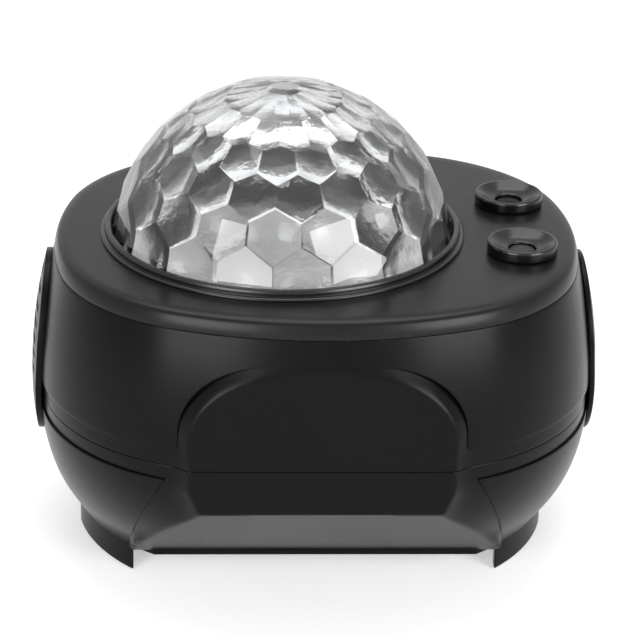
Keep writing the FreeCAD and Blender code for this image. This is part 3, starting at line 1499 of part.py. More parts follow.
def make_screws():
    """Each set of like screws is one group of separate solids."""
    small_head = N.small_screw_radius * N.screw_head_radius / N.screw_radius
    head = N.screw_head_height
    groups = {
        "housing_screws": [
            screw(spot, N.column_seat_z - head, N.column_top_z - 2 * N.flat_wall - N.column_seat_z,
                  N.screw_radius, N.screw_head_radius, 1)
            for spot in corners_of(N.column_x, N.column_y)
        ],
        "chassis_screws": [
            screw(spot, N.chassis_z - head, N.short_screw_length, N.screw_radius, N.screw_head_radius, 1)
            for spot in BOSSES
        ],
        "dome_screws": [
            screw(spot, COVER_UNDERSIDE - N.flange_thickness - head,
                  N.flange_thickness + N.deck_thickness / 2, N.small_screw_radius, small_head, 1)
            for spot in flange_screw_spots()
        ],
        "base_cover_screws": [
            screw(spot, N.slope_low_z - N.base_thickness - head, N.base_thickness + N.flat_wall,
                  N.small_screw_radius, small_head, 1)
            for spot in corners_of(N.base_screw_x, N.base_screw_y)
        ],
        "board_screws": [
            screw(spot, N.slope_low_z + N.board_post_height + N.board_thickness + head,
                  N.board_thickness + N.board_post_height / 2, N.small_screw_radius, small_head, -1)
            for spot in corners_of(N.board_post_x, N.board_post_y)
        ],
    }
    for name, screws in groups.items():
        solid_node(name, Part.makeCompound(screws))


make_lower_housing()
make_upper_housing()
make_arched_shell()
make_skirt("left_skirt", -1)
make_skirt("right_skirt", 1)
make_top_cover()
make_base_cover()
make_side_plate("speaker_grille", -1, True)
make_side_plate("right_side_plate", 1, False)
make_dome()
make_dome_ring()
for place in LENS_SPOTS:
    make_lens(place)
    make_laser(place)
make_speaker()
make_chassis()
make_led_board()
make_heat_sink()
make_pins()
make_ripple_wheel()
make_gears()
make_motor()
make_boards()
make_rear_panel()
make_screws()
doc.recompute()

# Nothing is written unless every object is sound
for item in doc.Objects:
    if "Invalid" in item.State or "Error" in item.State:
        raise RuntimeError("%s is in state %s" % (item.Label, item.State))
for item in NODES:
    if item.Shape.isNull() or not item.Shape.isValid():
        raise RuntimeError("%s has no valid shape" % item.Label)
    if not item.Shape.Solids:
        raise RuntimeError("%s has no solid" % item.Label)

os.makedirs("parts", exist_ok=True)
for item in NODES:
    item.Shape.exportStep("parts/%s.step" % item.Label)
print("%d nodes, %d solids" % (len(NODES), sum(len(item.Shape.Solids) for item in NODES)))
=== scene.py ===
import json
import math

import bmesh
import bpy
import numpy as np
from bpy.props import FloatProperty, FloatVectorProperty, IntProperty, PointerProperty
from mathutils import Matrix, Vector

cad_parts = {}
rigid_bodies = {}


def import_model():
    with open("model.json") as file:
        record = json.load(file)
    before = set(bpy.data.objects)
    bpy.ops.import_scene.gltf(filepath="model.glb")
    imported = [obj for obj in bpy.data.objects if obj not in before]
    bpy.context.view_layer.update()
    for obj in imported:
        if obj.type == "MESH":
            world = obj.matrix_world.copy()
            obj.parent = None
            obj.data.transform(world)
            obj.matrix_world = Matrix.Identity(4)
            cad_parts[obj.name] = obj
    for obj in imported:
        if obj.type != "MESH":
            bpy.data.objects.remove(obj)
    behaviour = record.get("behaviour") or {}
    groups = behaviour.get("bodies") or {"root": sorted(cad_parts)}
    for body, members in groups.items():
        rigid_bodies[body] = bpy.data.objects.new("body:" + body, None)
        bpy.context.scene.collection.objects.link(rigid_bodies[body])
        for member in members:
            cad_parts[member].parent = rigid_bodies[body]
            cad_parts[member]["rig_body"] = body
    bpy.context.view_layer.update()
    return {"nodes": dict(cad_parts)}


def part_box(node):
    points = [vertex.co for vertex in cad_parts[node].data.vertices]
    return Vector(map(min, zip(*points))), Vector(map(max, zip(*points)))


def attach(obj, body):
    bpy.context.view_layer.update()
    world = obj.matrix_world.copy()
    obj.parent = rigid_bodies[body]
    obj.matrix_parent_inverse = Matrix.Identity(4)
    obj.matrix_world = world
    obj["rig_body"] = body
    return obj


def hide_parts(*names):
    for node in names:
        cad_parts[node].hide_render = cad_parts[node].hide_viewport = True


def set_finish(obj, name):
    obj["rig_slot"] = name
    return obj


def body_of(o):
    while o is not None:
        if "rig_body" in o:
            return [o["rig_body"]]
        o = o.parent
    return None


# Looks of the star projector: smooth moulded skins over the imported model, the clear faceted
# dome, the light engine below it, and a studio with a pale floor. Metres, +Z up, front at -Y.

bl_info = {
    "name": "Star projector",
    "version": (1, 0, 0),
    "blender": (4, 5, 0),
    "location": "3D View > Sidebar > Projector",
    "description": "Dresses the packed star projector and sets up its studio",
    "category": "Add Mesh",
}

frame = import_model()
NODES = frame["nodes"]
MM = 0.001
BODY = "housing"
PI = math.pi


def low_of(node):
    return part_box(node)[0]


def high_of(node):
    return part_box(node)[1]


def middle_of(node):
    low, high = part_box(node)
    return (low + high) / 2


PARTING_Z = (high_of("lower_housing").z + low_of("upper_housing").z) / 2
SHELL_LOW_Z = low_of("arched_shell").z
SEAM_Z = high_of("arched_shell").z
DECK_Z = high_of("top_cover").z
DOME_AXIS = middle_of("faceted_dome")


# Settings a user would change

class ProjectorForm(bpy.types.PropertyGroup):
    half_width: FloatProperty(
        name="Half width", description="Widest half of the body across", default=82.5 * MM, unit="LENGTH")
    half_depth: FloatProperty(
        name="Half depth", description="Widest half of the body, front to back", default=75.48 * MM,
        unit="LENGTH")
    side_radius: FloatProperty(
        name="Side arc", description="Radius of the plan's left and right arcs", default=110 * MM,
        unit="LENGTH")
    front_radius: FloatProperty(
        name="Front arc", description="Radius of the plan's front and back arcs", default=120 * MM,
        unit="LENGTH")
    corner_radius: FloatProperty(
        name="Corner arc", description="Radius of the plan's four corner arcs", default=60 * MM,
        unit="LENGTH")
    upper_bulge: FloatProperty(
        name="Upper bulge", description="Radius of the profile above the parting line",
        default=140.7 * MM, unit="LENGTH")
    lower_bulge: FloatProperty(
        name="Lower bulge", description="Radius of the profile below the parting line",
        default=87 * MM, unit="LENGTH")
    straight_z: FloatProperty(
        name="Straight below", description="Height below which the profile runs straight",
        default=18.1 * MM, unit="LENGTH")
    front_draw: FloatProperty(
        name="Front draw", description="How much faster the front draws in than the sides, low down",
        default=2.08, subtype="FACTOR", soft_max=3.0)
    skin: FloatProperty(
        name="Skin thickness", description="Thickness of the outer skins", default=1.8 * MM, unit="LENGTH")
    deck_roll: FloatProperty(
        name="Deck roll", description="How far the deck's edge rolls inwards", default=3.7 * MM,
        unit="LENGTH")
    edge: FloatProperty(
        name="Edge rounding", description="Rounding of moulded edges", default=0.4 * MM, unit="LENGTH")


class ProjectorPanel(bpy.types.PropertyGroup):
    recess: FloatProperty(
        name="Panel recess", description="How far the panels lie inside the outer skins",
        default=0.7 * MM, unit="LENGTH")
    arch_recess: FloatProperty(
        name="Recess under the arch", description="How deep the panel lies at the top of the arch",
        default=2.0 * MM, unit="LENGTH")
    facet_y: FloatProperty(
        name="Facet distance", description="Distance of the flat front and back facets from the middle",
        default=71.0 * MM, unit="LENGTH")
    facet_half: FloatProperty(
        name="Facet half width", description="Half width of the flat facets", default=36.8 * MM,
        unit="LENGTH")
    facet_low_half: FloatProperty(
        name="Facet foot half width", description="Half width at the facets' lower edge",
        default=33.8 * MM, unit="LENGTH")
    facet_corner_z: FloatProperty(
        name="Facet corner height", description="Height at which the facets begin to narrow",
        default=46.0 * MM, unit="LENGTH")
    facet_low_z: FloatProperty(
        name="Facet foot height", description="Height of the facets' lower edge", default=39.0 * MM,
        unit="LENGTH")
    slope_low_y: FloatProperty(
        name="Slope foot distance", description="Distance of the slopes' lower edge from the middle",
        default=39.1 * MM, unit="LENGTH")
    slope_low_z: FloatProperty(
        name="Slope foot height", description="Height of the slopes' lower edge", default=10.2 * MM,
        unit="LENGTH")
    side_fall: FloatProperty(
        name="Side fall", description="How far the bevels beside the facets fall back",
        default=3.1 * MM, unit="LENGTH")
    top_band: FloatProperty(
        name="Top band", description="Height of the bevel between facet and arch", default=5.0 * MM,
        unit="LENGTH")
    crease: FloatProperty(
        name="Crease softness", description="Rounding of the facets' borders", default=0.7 * MM,
        unit="LENGTH")
    blend: FloatProperty(
        name="Bevel blend", description="Softness where the bevels meet the bowl", default=1.5 * MM,
        unit="LENGTH")


class ProjectorPlastic(bpy.types.PropertyGroup):
    body: FloatVectorProperty(
        name="Body colour", description="Colour of the satin black plastic", subtype="COLOR",
        default=(0.0028, 0.0028, 0.003), size=3)
    deck: FloatVectorProperty(
        name="Deck colour", description="Colour of the top cover", subtype="COLOR",
        default=(0.0065, 0.0065, 0.007), size=3)
    trim: FloatVectorProperty(
        name="Trim colour", description="Colour of the ring and the bezels", subtype="COLOR",
        default=(0.003, 0.003, 0.0032), size=3)
    roughness: FloatProperty(
        name="Roughness", description="Roughness of the satin plastic", default=0.27, subtype="FACTOR")
    gloss: FloatProperty(
        name="Gloss", description="Strength of the plastic's reflections", default=0.1, subtype="FACTOR")


class ProjectorDome(bpy.types.PropertyGroup):
    facets: IntProperty(name="Facets around", description="Facets in each row of the dome", default=18)
    radius: FloatProperty(
        name="Facet sphere", description="Radius of the sphere that the facets touch", default=49.1 * MM,
        unit="LENGTH")
    inner_radius: FloatProperty(
        name="Inner radius", description="Distance of the inner lenses' crowns from the centre",
        default=44.4 * MM, unit="LENGTH")
    lens_radius: FloatProperty(
        name="Lens radius", description="Radius of the small lens behind each facet", default=26 * MM,
        unit="LENGTH")
    centre_z: FloatProperty(
        name="Centre height", description="Height of the dome's centre", default=92.6 * MM, unit="LENGTH")
    turn: FloatProperty(
        name="Turn", description="Angle of the first facet from the front", default=math.radians(5.39),
        subtype="ANGLE")
    edge: FloatProperty(
        name="Facet edge", description="Rounding of the edges between facets", default=0.2 * MM,
        unit="LENGTH")


class ProjectorStudio(bpy.types.PropertyGroup):
    camera: FloatVectorProperty(
        name="Camera place", description="Where the camera stands", subtype="TRANSLATION",
        unit="LENGTH", default=(-31.125 * MM, -702.162 * MM, 380.629 * MM), size=3)
    azimuth: FloatProperty(
        name="Azimuth", description="Direction of view round the object", default=math.radians(-2.6732),
        subtype="ANGLE")
    elevation: FloatProperty(
        name="Elevation", description="Angle of view above the horizon", default=math.radians(24.0593),
        subtype="ANGLE")
    roll: FloatProperty(
        name="Roll", description="Turn of the camera about its own axis", default=math.radians(1.2457),
        subtype="ANGLE")
    lens: FloatProperty(
        name="Lens", description="Focal length on a 36 mm sensor, in mm", default=144.63)
    floor: FloatVectorProperty(
        name="Floor colour", description="Colour of the floor and backdrop", subtype="COLOR",
        default=(0.86, 0.86, 0.86), size=3)


SETTINGS = {
    "projector_form": ProjectorForm,
    "projector_panel": ProjectorPanel,
    "projector_plastic": ProjectorPlastic,
    "projector_dome": ProjectorDome,
    "projector_studio": ProjectorStudio,
}


# Plan and profile of the body

class Barrel:
    """The body's outer form: eight tangent arcs in plan, drawn in above and below its waist.

    A place on it is named by the level direction in which the surface faces there, by its
    height and by how far it lies inside the outer skin.
    """

    def __init__(self, sizes):
        self.sizes = sizes
        side_x = sizes.half_width - sizes.side_radius
        front_y = sizes.half_depth - sizes.front_radius
        to_side = sizes.side_radius - sizes.corner_radius
        to_front = sizes.front_radius - sizes.corner_radius
        apart = math.hypot(side_x, front_y)
        along = (to_side ** 2 - to_front ** 2 + apart ** 2) / (2 * apart)
        aside = math.sqrt(to_side ** 2 - along ** 2)
        corner_x = side_x + (-along * side_x - aside * front_y) / apart
        corner_y = (along * front_y - aside * side_x) / apart
        self.low = math.atan2(corner_y, corner_x - side_x)
        self.high = math.atan2(corner_y - front_y, corner_x)
        low, high = self.low, self.high
        marks = [low, high, PI - high, PI - low, PI + low, PI + high, 2 * PI - high]
        self.marks = np.array(marks) + low

    def drop(self, z):
        """How far the sides have drawn in at height z."""
        sizes = self.sizes
        z = np.asarray(z, float)
        above = np.clip(z - PARTING_Z, 0, None)
        below = np.clip(PARTING_Z - np.maximum(z, sizes.straight_z), 0, None)
        upper = sizes.upper_bulge - np.sqrt(sizes.upper_bulge ** 2 - above ** 2)
        lower = sizes.lower_bulge - np.sqrt(sizes.lower_bulge ** 2 - below ** 2)
        rise = PARTING_Z - sizes.straight_z
        slope = rise / math.sqrt(sizes.lower_bulge ** 2 - rise ** 2)
        return upper + lower + slope * np.clip(sizes.straight_z - z, 0, None)

    def arcs(self, z):
        """Centres and radii of the eight arcs at heights z."""
        sizes = self.sizes
        inward = self.drop(z)
        even = np.where(np.asarray(z) >= PARTING_Z, inward, 0.0)
        draw = inward - even
        half_width = sizes.half_width - draw
        half_depth = sizes.half_depth - sizes.front_draw * draw
        corner = sizes.corner_radius
        low_cos, low_sin = math.cos(self.low), math.sin(self.low)
        high_cos, high_sin = math.cos(self.high), math.sin(self.high)
        across = half_width - corner * (low_cos - high_cos)
        along = half_depth - corner * (high_sin - low_sin)
        share = (1 - low_cos) * (1 - high_sin) - high_cos * low_sin
        side = (across * (1 - high_sin) - along * high_cos) / share
        front = (along * (1 - low_cos) - across * low_sin) / share
        side_x = half_width - side
        corner_x = side_x + (side - corner) * low_cos
        corner_y = (side - corner) * low_sin
        front_y = half_depth - front
        zero = np.zeros_like(side)
        round_corner = zero + corner
        xs = [side_x, corner_x, zero, -corner_x, -side_x, -corner_x, zero, corner_x]
        ys = [zero, corner_y, front_y, corner_y, zero, -corner_y, -front_y, -corner_y]
        radii = [side, round_corner, front, round_corner] * 2
        return np.stack(xs), np.stack(ys), np.stack(radii) - even

    def spot(self, facing, z, inset):
        """Points for facing directions, heights and insets, and the level outward directions."""
        facing, z, inset = np.broadcast_arrays(np.asarray(facing, float), z, inset)
        xs, ys, radii = self.arcs(z)
        turned = np.mod(facing + self.low, 2 * PI)
        index = np.searchsorted(self.marks, turned, side="right")[None]
        x = np.take_along_axis(xs, index, 0)[0]
        y = np.take_along_axis(ys, index, 0)[0]
        reach = np.take_along_axis(radii, index, 0)[0] - inset
        out = np.stack([np.cos(facing), np.sin(facing), np.zeros(facing.shape)], -1)
        place = out * reach[..., None] + np.stack([x, y, np.asarray(z, float)], -1)
        return place, out

    def facing_at_x(self, x, z, inset, side):
        """Facing direction where the front (-1) or the back (1) has a given x at height z."""
        x, z, inset = np.broadcast_arrays(np.asarray(x, float), z, inset)
        low = np.full(x.shape, 0.0 if side > 0 else PI)
        high = low + PI
        for _ in range(40):
            middle = (low + high) / 2
            place, _out = self.spot(middle, z, inset)
            further = (place[..., 0] > x) if side > 0 else (place[..., 0] < x)
            low = np.where(further, middle, low)
            high = np.where(further, high, middle)
        return (low + high) / 2

    def side_x(self, y, z, proud):
        """Distance of the side arc from the middle at a place on the side."""
        xs, _ys, radii = self.arcs(z)
        return xs[0] + np.sqrt((radii[0] + proud) ** 2 - np.asarray(y) ** 2)

    def columns(self, fine, coarse, fine_half):
        """Facing directions once round, set closer together in front and behind."""
        table = np.linspace(0, 2 * PI, 7200)
        place, _out = self.spot(table, PARTING_Z, 0.0)
        step = np.linalg.norm(np.diff(place, axis=0), axis=1)
        near = np.abs(place[1:, 0]) < fine_half
        weight = np.concatenate([[0.0], np.cumsum(step / np.where(near, fine, coarse))])
        count = 2 * int(weight[-1] / 2)
        return np.interp(np.linspace(0, weight[-1], count, endpoint=False), weight, table)


# Mesh helpers

def link(item):
    bpy.context.scene.collection.objects.link(item)
    return item


def new_piece(name, mesh, body, material, slot=None):
    """A piece of the object that rides on one body."""
    item = link(bpy.data.objects.new(name, mesh))
    mesh.materials.clear()
    mesh.materials.append(material)
    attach(item, body)
    if slot:
        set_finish(item, slot)
    return item


def mesh_from(name, points, faces):
    mesh = bpy.data.meshes.new(name)
    mesh.from_pydata([tuple(p) for p in points], [], faces)
    mesh.update()
    return mesh


def outward(mesh):
    """Merge doubles and point every face outwards."""
    work = bmesh.new()
    work.from_mesh(mesh)
    bmesh.ops.remove_doubles(work, verts=work.verts, dist=0.003 * MM)
    bmesh.ops.recalc_face_normals(work, faces=work.faces)
    work.to_mesh(mesh)
    work.free()
    return mesh


def grid_faces(rows, columns, close_rows=False, close_columns=False, first=0):
    """Quads of a grid of points stored row by row."""
    faces = []
    for row in range(rows if close_rows else rows - 1):
        above = (row + 1) % rows
        for column in range(columns if close_columns else columns - 1):
            after = (column + 1) % columns
            faces.append((first + row * columns + column, first + row * columns + after,
                          first + above * columns + after, first + above * columns + column))
    return faces


def ring_mesh(name, rows):
    """A closed ring: each row goes once round, and the last row meets the first."""
    rows = np.asarray(rows)
    count, columns = rows.shape[:2]
    faces = grid_faces(count, columns, close_rows=True, close_columns=True)
    return outward(mesh_from(name, rows.reshape(-1, 3), faces))


def patch_mesh(name, outer, inner):
    """A closed plate between two grids of the same size."""
    rows, columns = outer.shape[:2]
    count = rows * columns
    points = np.concatenate([outer.reshape(-1, 3), inner.reshape(-1, 3)])
    faces = grid_faces(rows, columns)
    faces += [tuple(reversed(face)) for face in grid_faces(rows, columns, first=count)]
    rim = [row * columns for row in range(rows)]
    rim += [(rows - 1) * columns + column for column in range(1, columns)]
    rim += [row * columns + columns - 1 for row in range(rows - 2, -1, -1)]
    rim += [column for column in range(columns - 2, 0, -1)]
    for here, there in zip(rim, rim[1:] + rim[:1]):
        faces.append((here, there, there + count, here + count))
    return outward(mesh_from(name, points, faces))


def settle(item):
    """Turn the live modifiers' result into the piece's own mesh."""
    graph = bpy.context.evaluated_depsgraph_get()
    mesh = bpy.data.meshes.new_from_object(item.evaluated_get(graph), preserve_all_data_layers=True,
                                           depsgraph=graph)
    item.modifiers.clear()
    old = item.data
    item.data = mesh
    bpy.data.meshes.remove(old)


def shade(mesh, keep):
    """Smooth shading with edges kept sharp above an angle."""
    for face in mesh.polygons:
        face.use_smooth = True
    mesh.set_sharp_from_angle(angle=math.radians(keep))


def finish(item, width=None, angle=35.0, segments=2, keep=30.0):
    """Round the sharp edges, smooth the rest, and keep the result as a plain mesh."""
    if width:
        bevel = item.modifiers.new("rounding", "BEVEL")
        bevel.width = width
        bevel.segments = segments
        bevel.limit_method = "ANGLE"
        bevel.angle_limit = math.radians(angle)
        bevel.use_clamp_overlap = True
        bevel.miter_outer = "MITER_ARC"
        settle(item)
    shade(item.data, keep)
    return item


def skin_piece(name, patches, thickness, material, slot):
    """A skin of even thickness from grids of points that meet along their borders."""
    points, faces = [], []
    first = 0
    for grid in patches:
        rows, columns = grid.shape[:2]
        faces += grid_faces(rows, columns, first=first)
        points.append(grid.reshape(-1, 3))
        first += rows * columns
    mesh = outward(mesh_from(name, np.concatenate(points), faces))
    if sum(face.normal.dot(face.center) * face.area for face in mesh.polygons) < 0:
        mesh.flip_normals()
    item = new_piece(name, mesh, BODY, material, slot)
    wall = item.modifiers.new("wall", "SOLIDIFY")
    wall.thickness = thickness
    wall.offset = -1.0
    wall.use_even_offset = True
    settle(item)
    return item


def cut_with(item, cutters):
    """Take other meshes away from a piece."""
    for cutter in cutters:
        modifier = item.modifiers.new("cut", "BOOLEAN")
        modifier.operation = "DIFFERENCE"
        modifier.solver = "EXACT"
        modifier.object = cutter
        settle(item)
        bpy.data.objects.remove(cutter)


def cutter_from(work):
    mesh = bpy.data.meshes.new("cutter")
    bmesh.ops.recalc_face_normals(work, faces=work.faces)
    work.to_mesh(mesh)
    work.free()
    return link(bpy.data.objects.new("cutter", mesh))


def rod_cutter(radius, start, end, sides=64):
    """A round cutter between two points."""
    start, end = Vector(start), Vector(end)
    work = bmesh.new()
    bmesh.ops.create_cone(work, cap_ends=True, segments=sides, radius1=radius, radius2=radius,
                          depth=(end - start).length)
    turn = (end - start).to_track_quat("Z", "Y").to_matrix().to_4x4()
    work.transform(Matrix.Translation((start + end) / 2) @ turn)
    return cutter_from(work)


def box_cutter(low, high):
    work = bmesh.new()
    bmesh.ops.create_cube(work, size=1.0)
    low, high = Vector(low), Vector(high)
    work.transform(Matrix.Translation((low + high) / 2) @ Matrix.Diagonal((*(high - low), 1)))
    return cutter_from(work)


def turned_mesh(name, section, centre, sides=160):
    """A closed solid turned about a vertical axis from (radius, height) points."""
    angles = np.linspace(0, 2 * PI, sides, endpoint=False)
    rows = [
        np.stack([centre[0] + r * np.cos(angles), centre[1] + r * np.sin(angles), np.full(sides, z)], -1)
        for r, z in section
    ]
    return ring_mesh(name, rows)


def smooth_section(corners, radius, steps=4):
    """A closed (radius, height) outline with its corners rounded."""
    points = []
    count = len(corners)
    for number, (corner, size) in enumerate(corners):
        here = Vector(corner)
        before = Vector(corners[number - 1][0]) - here
        after = Vector(corners[(number + 1) % count][0]) - here
        cut = min(size * radius, before.length * 0.45, after.length * 0.45)
        if cut <= 0:
            points.append(tuple(here))
            continue
        start = here + before.normalized() * cut
        end = here + after.normalized() * cut
        for step in range(steps + 1):
            share = step / steps
            points.append(tuple(start * (1 - share) ** 2 + here * 2 * share * (1 - share) + end * share ** 2))
    return points


def smooth_copy(node, name, material, slot=None, edge=None):
    """A merged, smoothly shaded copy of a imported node, which then stands for it."""
    work = bmesh.new()
    work.from_mesh(NODES[node].data)
    bmesh.ops.remove_doubles(work, verts=work.verts, dist=0.004 * MM)
    bmesh.ops.dissolve_limit(work, angle_limit=math.radians(0.4), verts=work.verts, edges=work.edges)
    bmesh.ops.recalc_face_normals(work, faces=work.faces)
    mesh = bpy.data.meshes.new(name)
    work.to_mesh(mesh)
    work.free()
    item = new_piece(name, mesh, body_of(NODES[node])[0], material, slot)
    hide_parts(node)
    return finish(item, edge, angle=50, keep=28)


# Nodes and materials

def add_node(tree, kind, inputs=(), **settings):
    """A node with its settings made, and its inputs linked to sockets or set to values."""
    node = tree.nodes.new(kind)
    for name, value in settings.items():
        setattr(node, name, value)
    for name, value in dict(inputs).items():
        if isinstance(value, bpy.types.NodeSocket):
            tree.links.new(value, node.inputs[name])
        else:
            node.inputs[name].default_value = value
    return node


def math_node(tree, operation, *values):
    """A maths node whose inputs are sockets or plain numbers."""
    return add_node(tree, "ShaderNodeMath", enumerate(values), operation=operation).outputs[0]


class Look:
    """A new node material, and the steps that most of the finishes share."""

    def __init__(self, name):
        self.material = bpy.data.materials.new(name)
        self.material.use_nodes = True
        self.tree = self.material.node_tree
        self.shader = self.tree.nodes["Principled BSDF"]
        self.place = add_node(self.tree, "ShaderNodeTexCoord").outputs["Object"]

    def link(self, source, name):
        self.tree.links.new(source, self.shader.inputs[name])

    def noise(self, scale, detail=3.0):
        texture = add_node(self.tree, "ShaderNodeTexNoise",
                           {"Vector": self.place, "Scale": scale, "Detail": detail})
        return texture.outputs["Fac"]

    def colour(self, source, colour, darker):
        """The colour, brought down to a darker share of itself where the texture is low."""
        ramp = add_node(self.tree, "ShaderNodeValToRGB", {"Fac": source})
        for element, position, share in zip(ramp.color_ramp.elements, (0.35, 0.65), (darker, 1.0)):
            element.position = position
            element.color = (*(part * share for part in colour), 1)
        self.link(ramp.outputs["Color"], "Base Color")

    def span(self, source, low, high, first=0.3, last=0.7):
        """A texture's value brought into a range."""
        change = add_node(self.tree, "ShaderNodeMapRange", {
            "Value": source, "From Min": first, "From Max": last, "To Min": low, "To Max": high})
        return change.outputs["Result"]

    def roughness(self, source, low, high):
        self.link(self.span(source, low, high), "Roughness")

    def bump(self, source, strength, distance):
        relief = add_node(self.tree, "ShaderNodeBump",
                          {"Height": source, "Strength": strength, "Distance": distance})
        self.link(relief.outputs["Normal"], "Normal")

    def clear(self):
        self.shader.inputs["Transmission Weight"].default_value = 1.0
        self.shader.inputs["IOR"].default_value = 1.49


def moulded_plastic(name, colour, roughness, gloss=0.5, spread=0.03, grain=2600.0, depth=0.05):
    """Satin plastic with a fine moulded grain and faint changes of tone."""
    look = Look(name)
    broad = look.noise(22.0)
    look.colour(broad, colour, 0.86)
    look.roughness(broad, roughness - spread, roughness + spread)
    look.bump(look.noise(grain, 2.0), depth, 0.05 * MM)
    look.shader.inputs["Specular IOR Level"].default_value = gloss
    return look.material


def brushed_metal(name, colour, roughness):
    """Metal with fine drawn lines."""
    look = Look(name)
    stretch = add_node(look.tree, "ShaderNodeMapping", {"Vector": look.place, "Scale": (900, 900, 60)})
    lines = add_node(look.tree, "ShaderNodeTexNoise",
                     {"Vector": stretch.outputs["Vector"], "Scale": 1.0}).outputs["Fac"]
    look.colour(lines, colour, 0.85)
    look.roughness(lines, roughness * 0.8, roughness * 1.2)
    look.shader.inputs["Metallic"].default_value = 1.0
    return look.material


def clear_film(name, colour, roughness):
    """Thin clear plastic with a trace of unevenness."""
    look = Look(name)
    wave = look.noise(60.0)
    look.colour(wave, colour, 0.98)
    look.roughness(wave, roughness, roughness + 0.02)
    look.clear()
    return look.material


def dome_plastic(name, colour, centre, inside, outside):
    """Clear plastic, polished outside, with soft ripples and a fine haze on the inner lenses."""
    look = Look(name)
    wave = look.noise(85.0)
    look.colour(wave, colour, 0.98)
    look.clear()
    reach = add_node(look.tree, "ShaderNodeVectorMath", {0: look.place, 1: centre}, operation="DISTANCE")
    inner = look.span(reach.outputs["Value"], 1.0, 0.0, inside, outside)
    haze = math_node(look.tree, "MULTIPLY", look.span(wave, 0.1, 0.24), inner)
    look.link(haze, "Roughness")
    look.bump(look.noise(190.0), inner, 0.28 * MM)
    return look.material


def circuit_board(name):
    """Green solder mask over copper tracks, with the laminate's weave."""
    look = Look(name)
    tracks = add_node(look.tree, "ShaderNodeTexBrick", {
        "Vector": look.place, "Scale": 190.0, "Mortar Size": 0.03, "Color1": (0.015, 0.12, 0.05, 1),
        "Color2": (0.02, 0.16, 0.07, 1), "Mortar": (0.05, 0.26, 0.11, 1)})
    look.link(tracks.outputs["Color"], "Base Color")
    look.roughness(look.noise(120.0), 0.3, 0.45)
    look.bump(tracks.outputs["Fac"], 0.2, 0.05 * MM)
    return look.material


def frosted_optic(name, colour, shine):
    """Milky moulded optic with cast ripples that spread light."""
    look = Look(name)
    cells = add_node(look.tree, "ShaderNodeTexVoronoi", {"Vector": look.place, "Scale": 240.0})
    cloud = look.noise(55.0, 5.0)
    look.colour(cloud, colour, 0.55)
    look.roughness(cloud, 0.2, 0.4)
    look.bump(cells.outputs["Distance"], 0.6, 0.5 * MM)
    look.shader.inputs["Specular IOR Level"].default_value = shine
    return look.material


MATERIALS = {}


def material_of(name):
    if not MATERIALS:
        make_materials()
    return MATERIALS[name]


def make_materials():
    plastic = bpy.context.scene.projector_plastic
    dome = bpy.context.scene.projector_dome
    rough, gloss = plastic.roughness, plastic.gloss
    dome_centre = (DOME_AXIS.x, DOME_AXIS.y, dome.centre_z)
    MATERIALS.update({
        "body": moulded_plastic("satin_black_plastic", plastic.body, rough, gloss),
        "deck": moulded_plastic("deck_black_plastic", plastic.deck, rough + 0.02, gloss + 0.08),
        "trim": moulded_plastic("gloss_black_trim", plastic.trim, 0.24, 0.4, 0.03, 900.0, 0.02),
        "grille": moulded_plastic("grille_black_plastic", plastic.body, rough + 0.06, gloss),
        "white_gear": moulded_plastic("white_acetal", (0.62, 0.62, 0.6), 0.4),
        "grey_frame": moulded_plastic("grey_frame_plastic", (0.14, 0.14, 0.145), 0.5),
        "chip": moulded_plastic("black_component", (0.015, 0.015, 0.016), 0.35),
        "cone": moulded_plastic("black_cone_paper", (0.02, 0.02, 0.02), 0.8, 0.3, 0.05, 1500.0, 0.3),
        "led": moulded_plastic("yellow_phosphor", (0.85, 0.7, 0.2), 0.5),
        "dark_window": moulded_plastic("dark_window_glass", (0.004, 0.004, 0.005), 0.12, 0.05, 0.02,
                                       900.0, 0.01),
        "steel": brushed_metal("bright_steel", (0.6, 0.6, 0.61), 0.3),
        "alloy": brushed_metal("bare_alloy", (0.75, 0.76, 0.78), 0.38),
        "brass": brushed_metal("turned_brass", (0.8, 0.6, 0.3), 0.28),
        "board": circuit_board("green_circuit_board"),
        "dome": dome_plastic("clear_dome_plastic", (0.97, 0.975, 0.98), dome_centre,
                             dome.radius - 2.1 * MM, dome.radius - 0.6 * MM),
        "ripple": frosted_optic("frosted_ripple_plastic", (0.4, 0.4, 0.395), 0.5),
        "film": clear_film("grating_film", (0.8, 0.9, 0.85), 0.1),
        "pale_window": frosted_optic("pale_window_glass", (0.045, 0.045, 0.044), 0.15),
    })


NODES_BY_FINISH = {
    "body": ("base_cover", "arched_shell", "upper_housing", "lower_housing", "left_skirt", "right_skirt"),
    "deck": ("top_cover",),
    "trim": ("power_button", "dome_ring", "front_lens_bezel", "rear_lens_bezel"),
    "grille": ("speaker_grille", "right_side_plate"),
    "white_gear": ("ripple_gear_rim", "idler_gear", "centre_gear", "front_grating_wheel",
                   "rear_grating_wheel"),
    "grey_frame": ("chassis_plate",),
    "chip": ("board_parts", "power_inlet", "usb_tongue", "power_switch"),
    "cone": ("speaker_cone",),
    "led": ("led_chips",),
    "dark_window": ("rear_lens_window",),
    "steel": ("speaker_frame", "speaker_magnet", "ripple_pin", "idler_pin", "centre_pin",
              "retaining_clips", "motor_pinion", "drive_motor", "motor_shaft", "usb_socket",
              "housing_screws", "chassis_screws", "dome_screws", "base_cover_screws", "board_screws"),
    "alloy": ("heat_sink", "front_laser_holder", "rear_laser_holder"),
    "brass": ("front_laser_module", "rear_laser_module"),
    "board": ("led_board", "main_board", "touch_key_board", "port_board"),
    "dome": ("faceted_dome",),
    "ripple": ("ripple_disc",),
    "film": ("led_lens_caps", "front_grating_film", "rear_grating_film"),
    "pale_window": ("front_lens_window",),
}


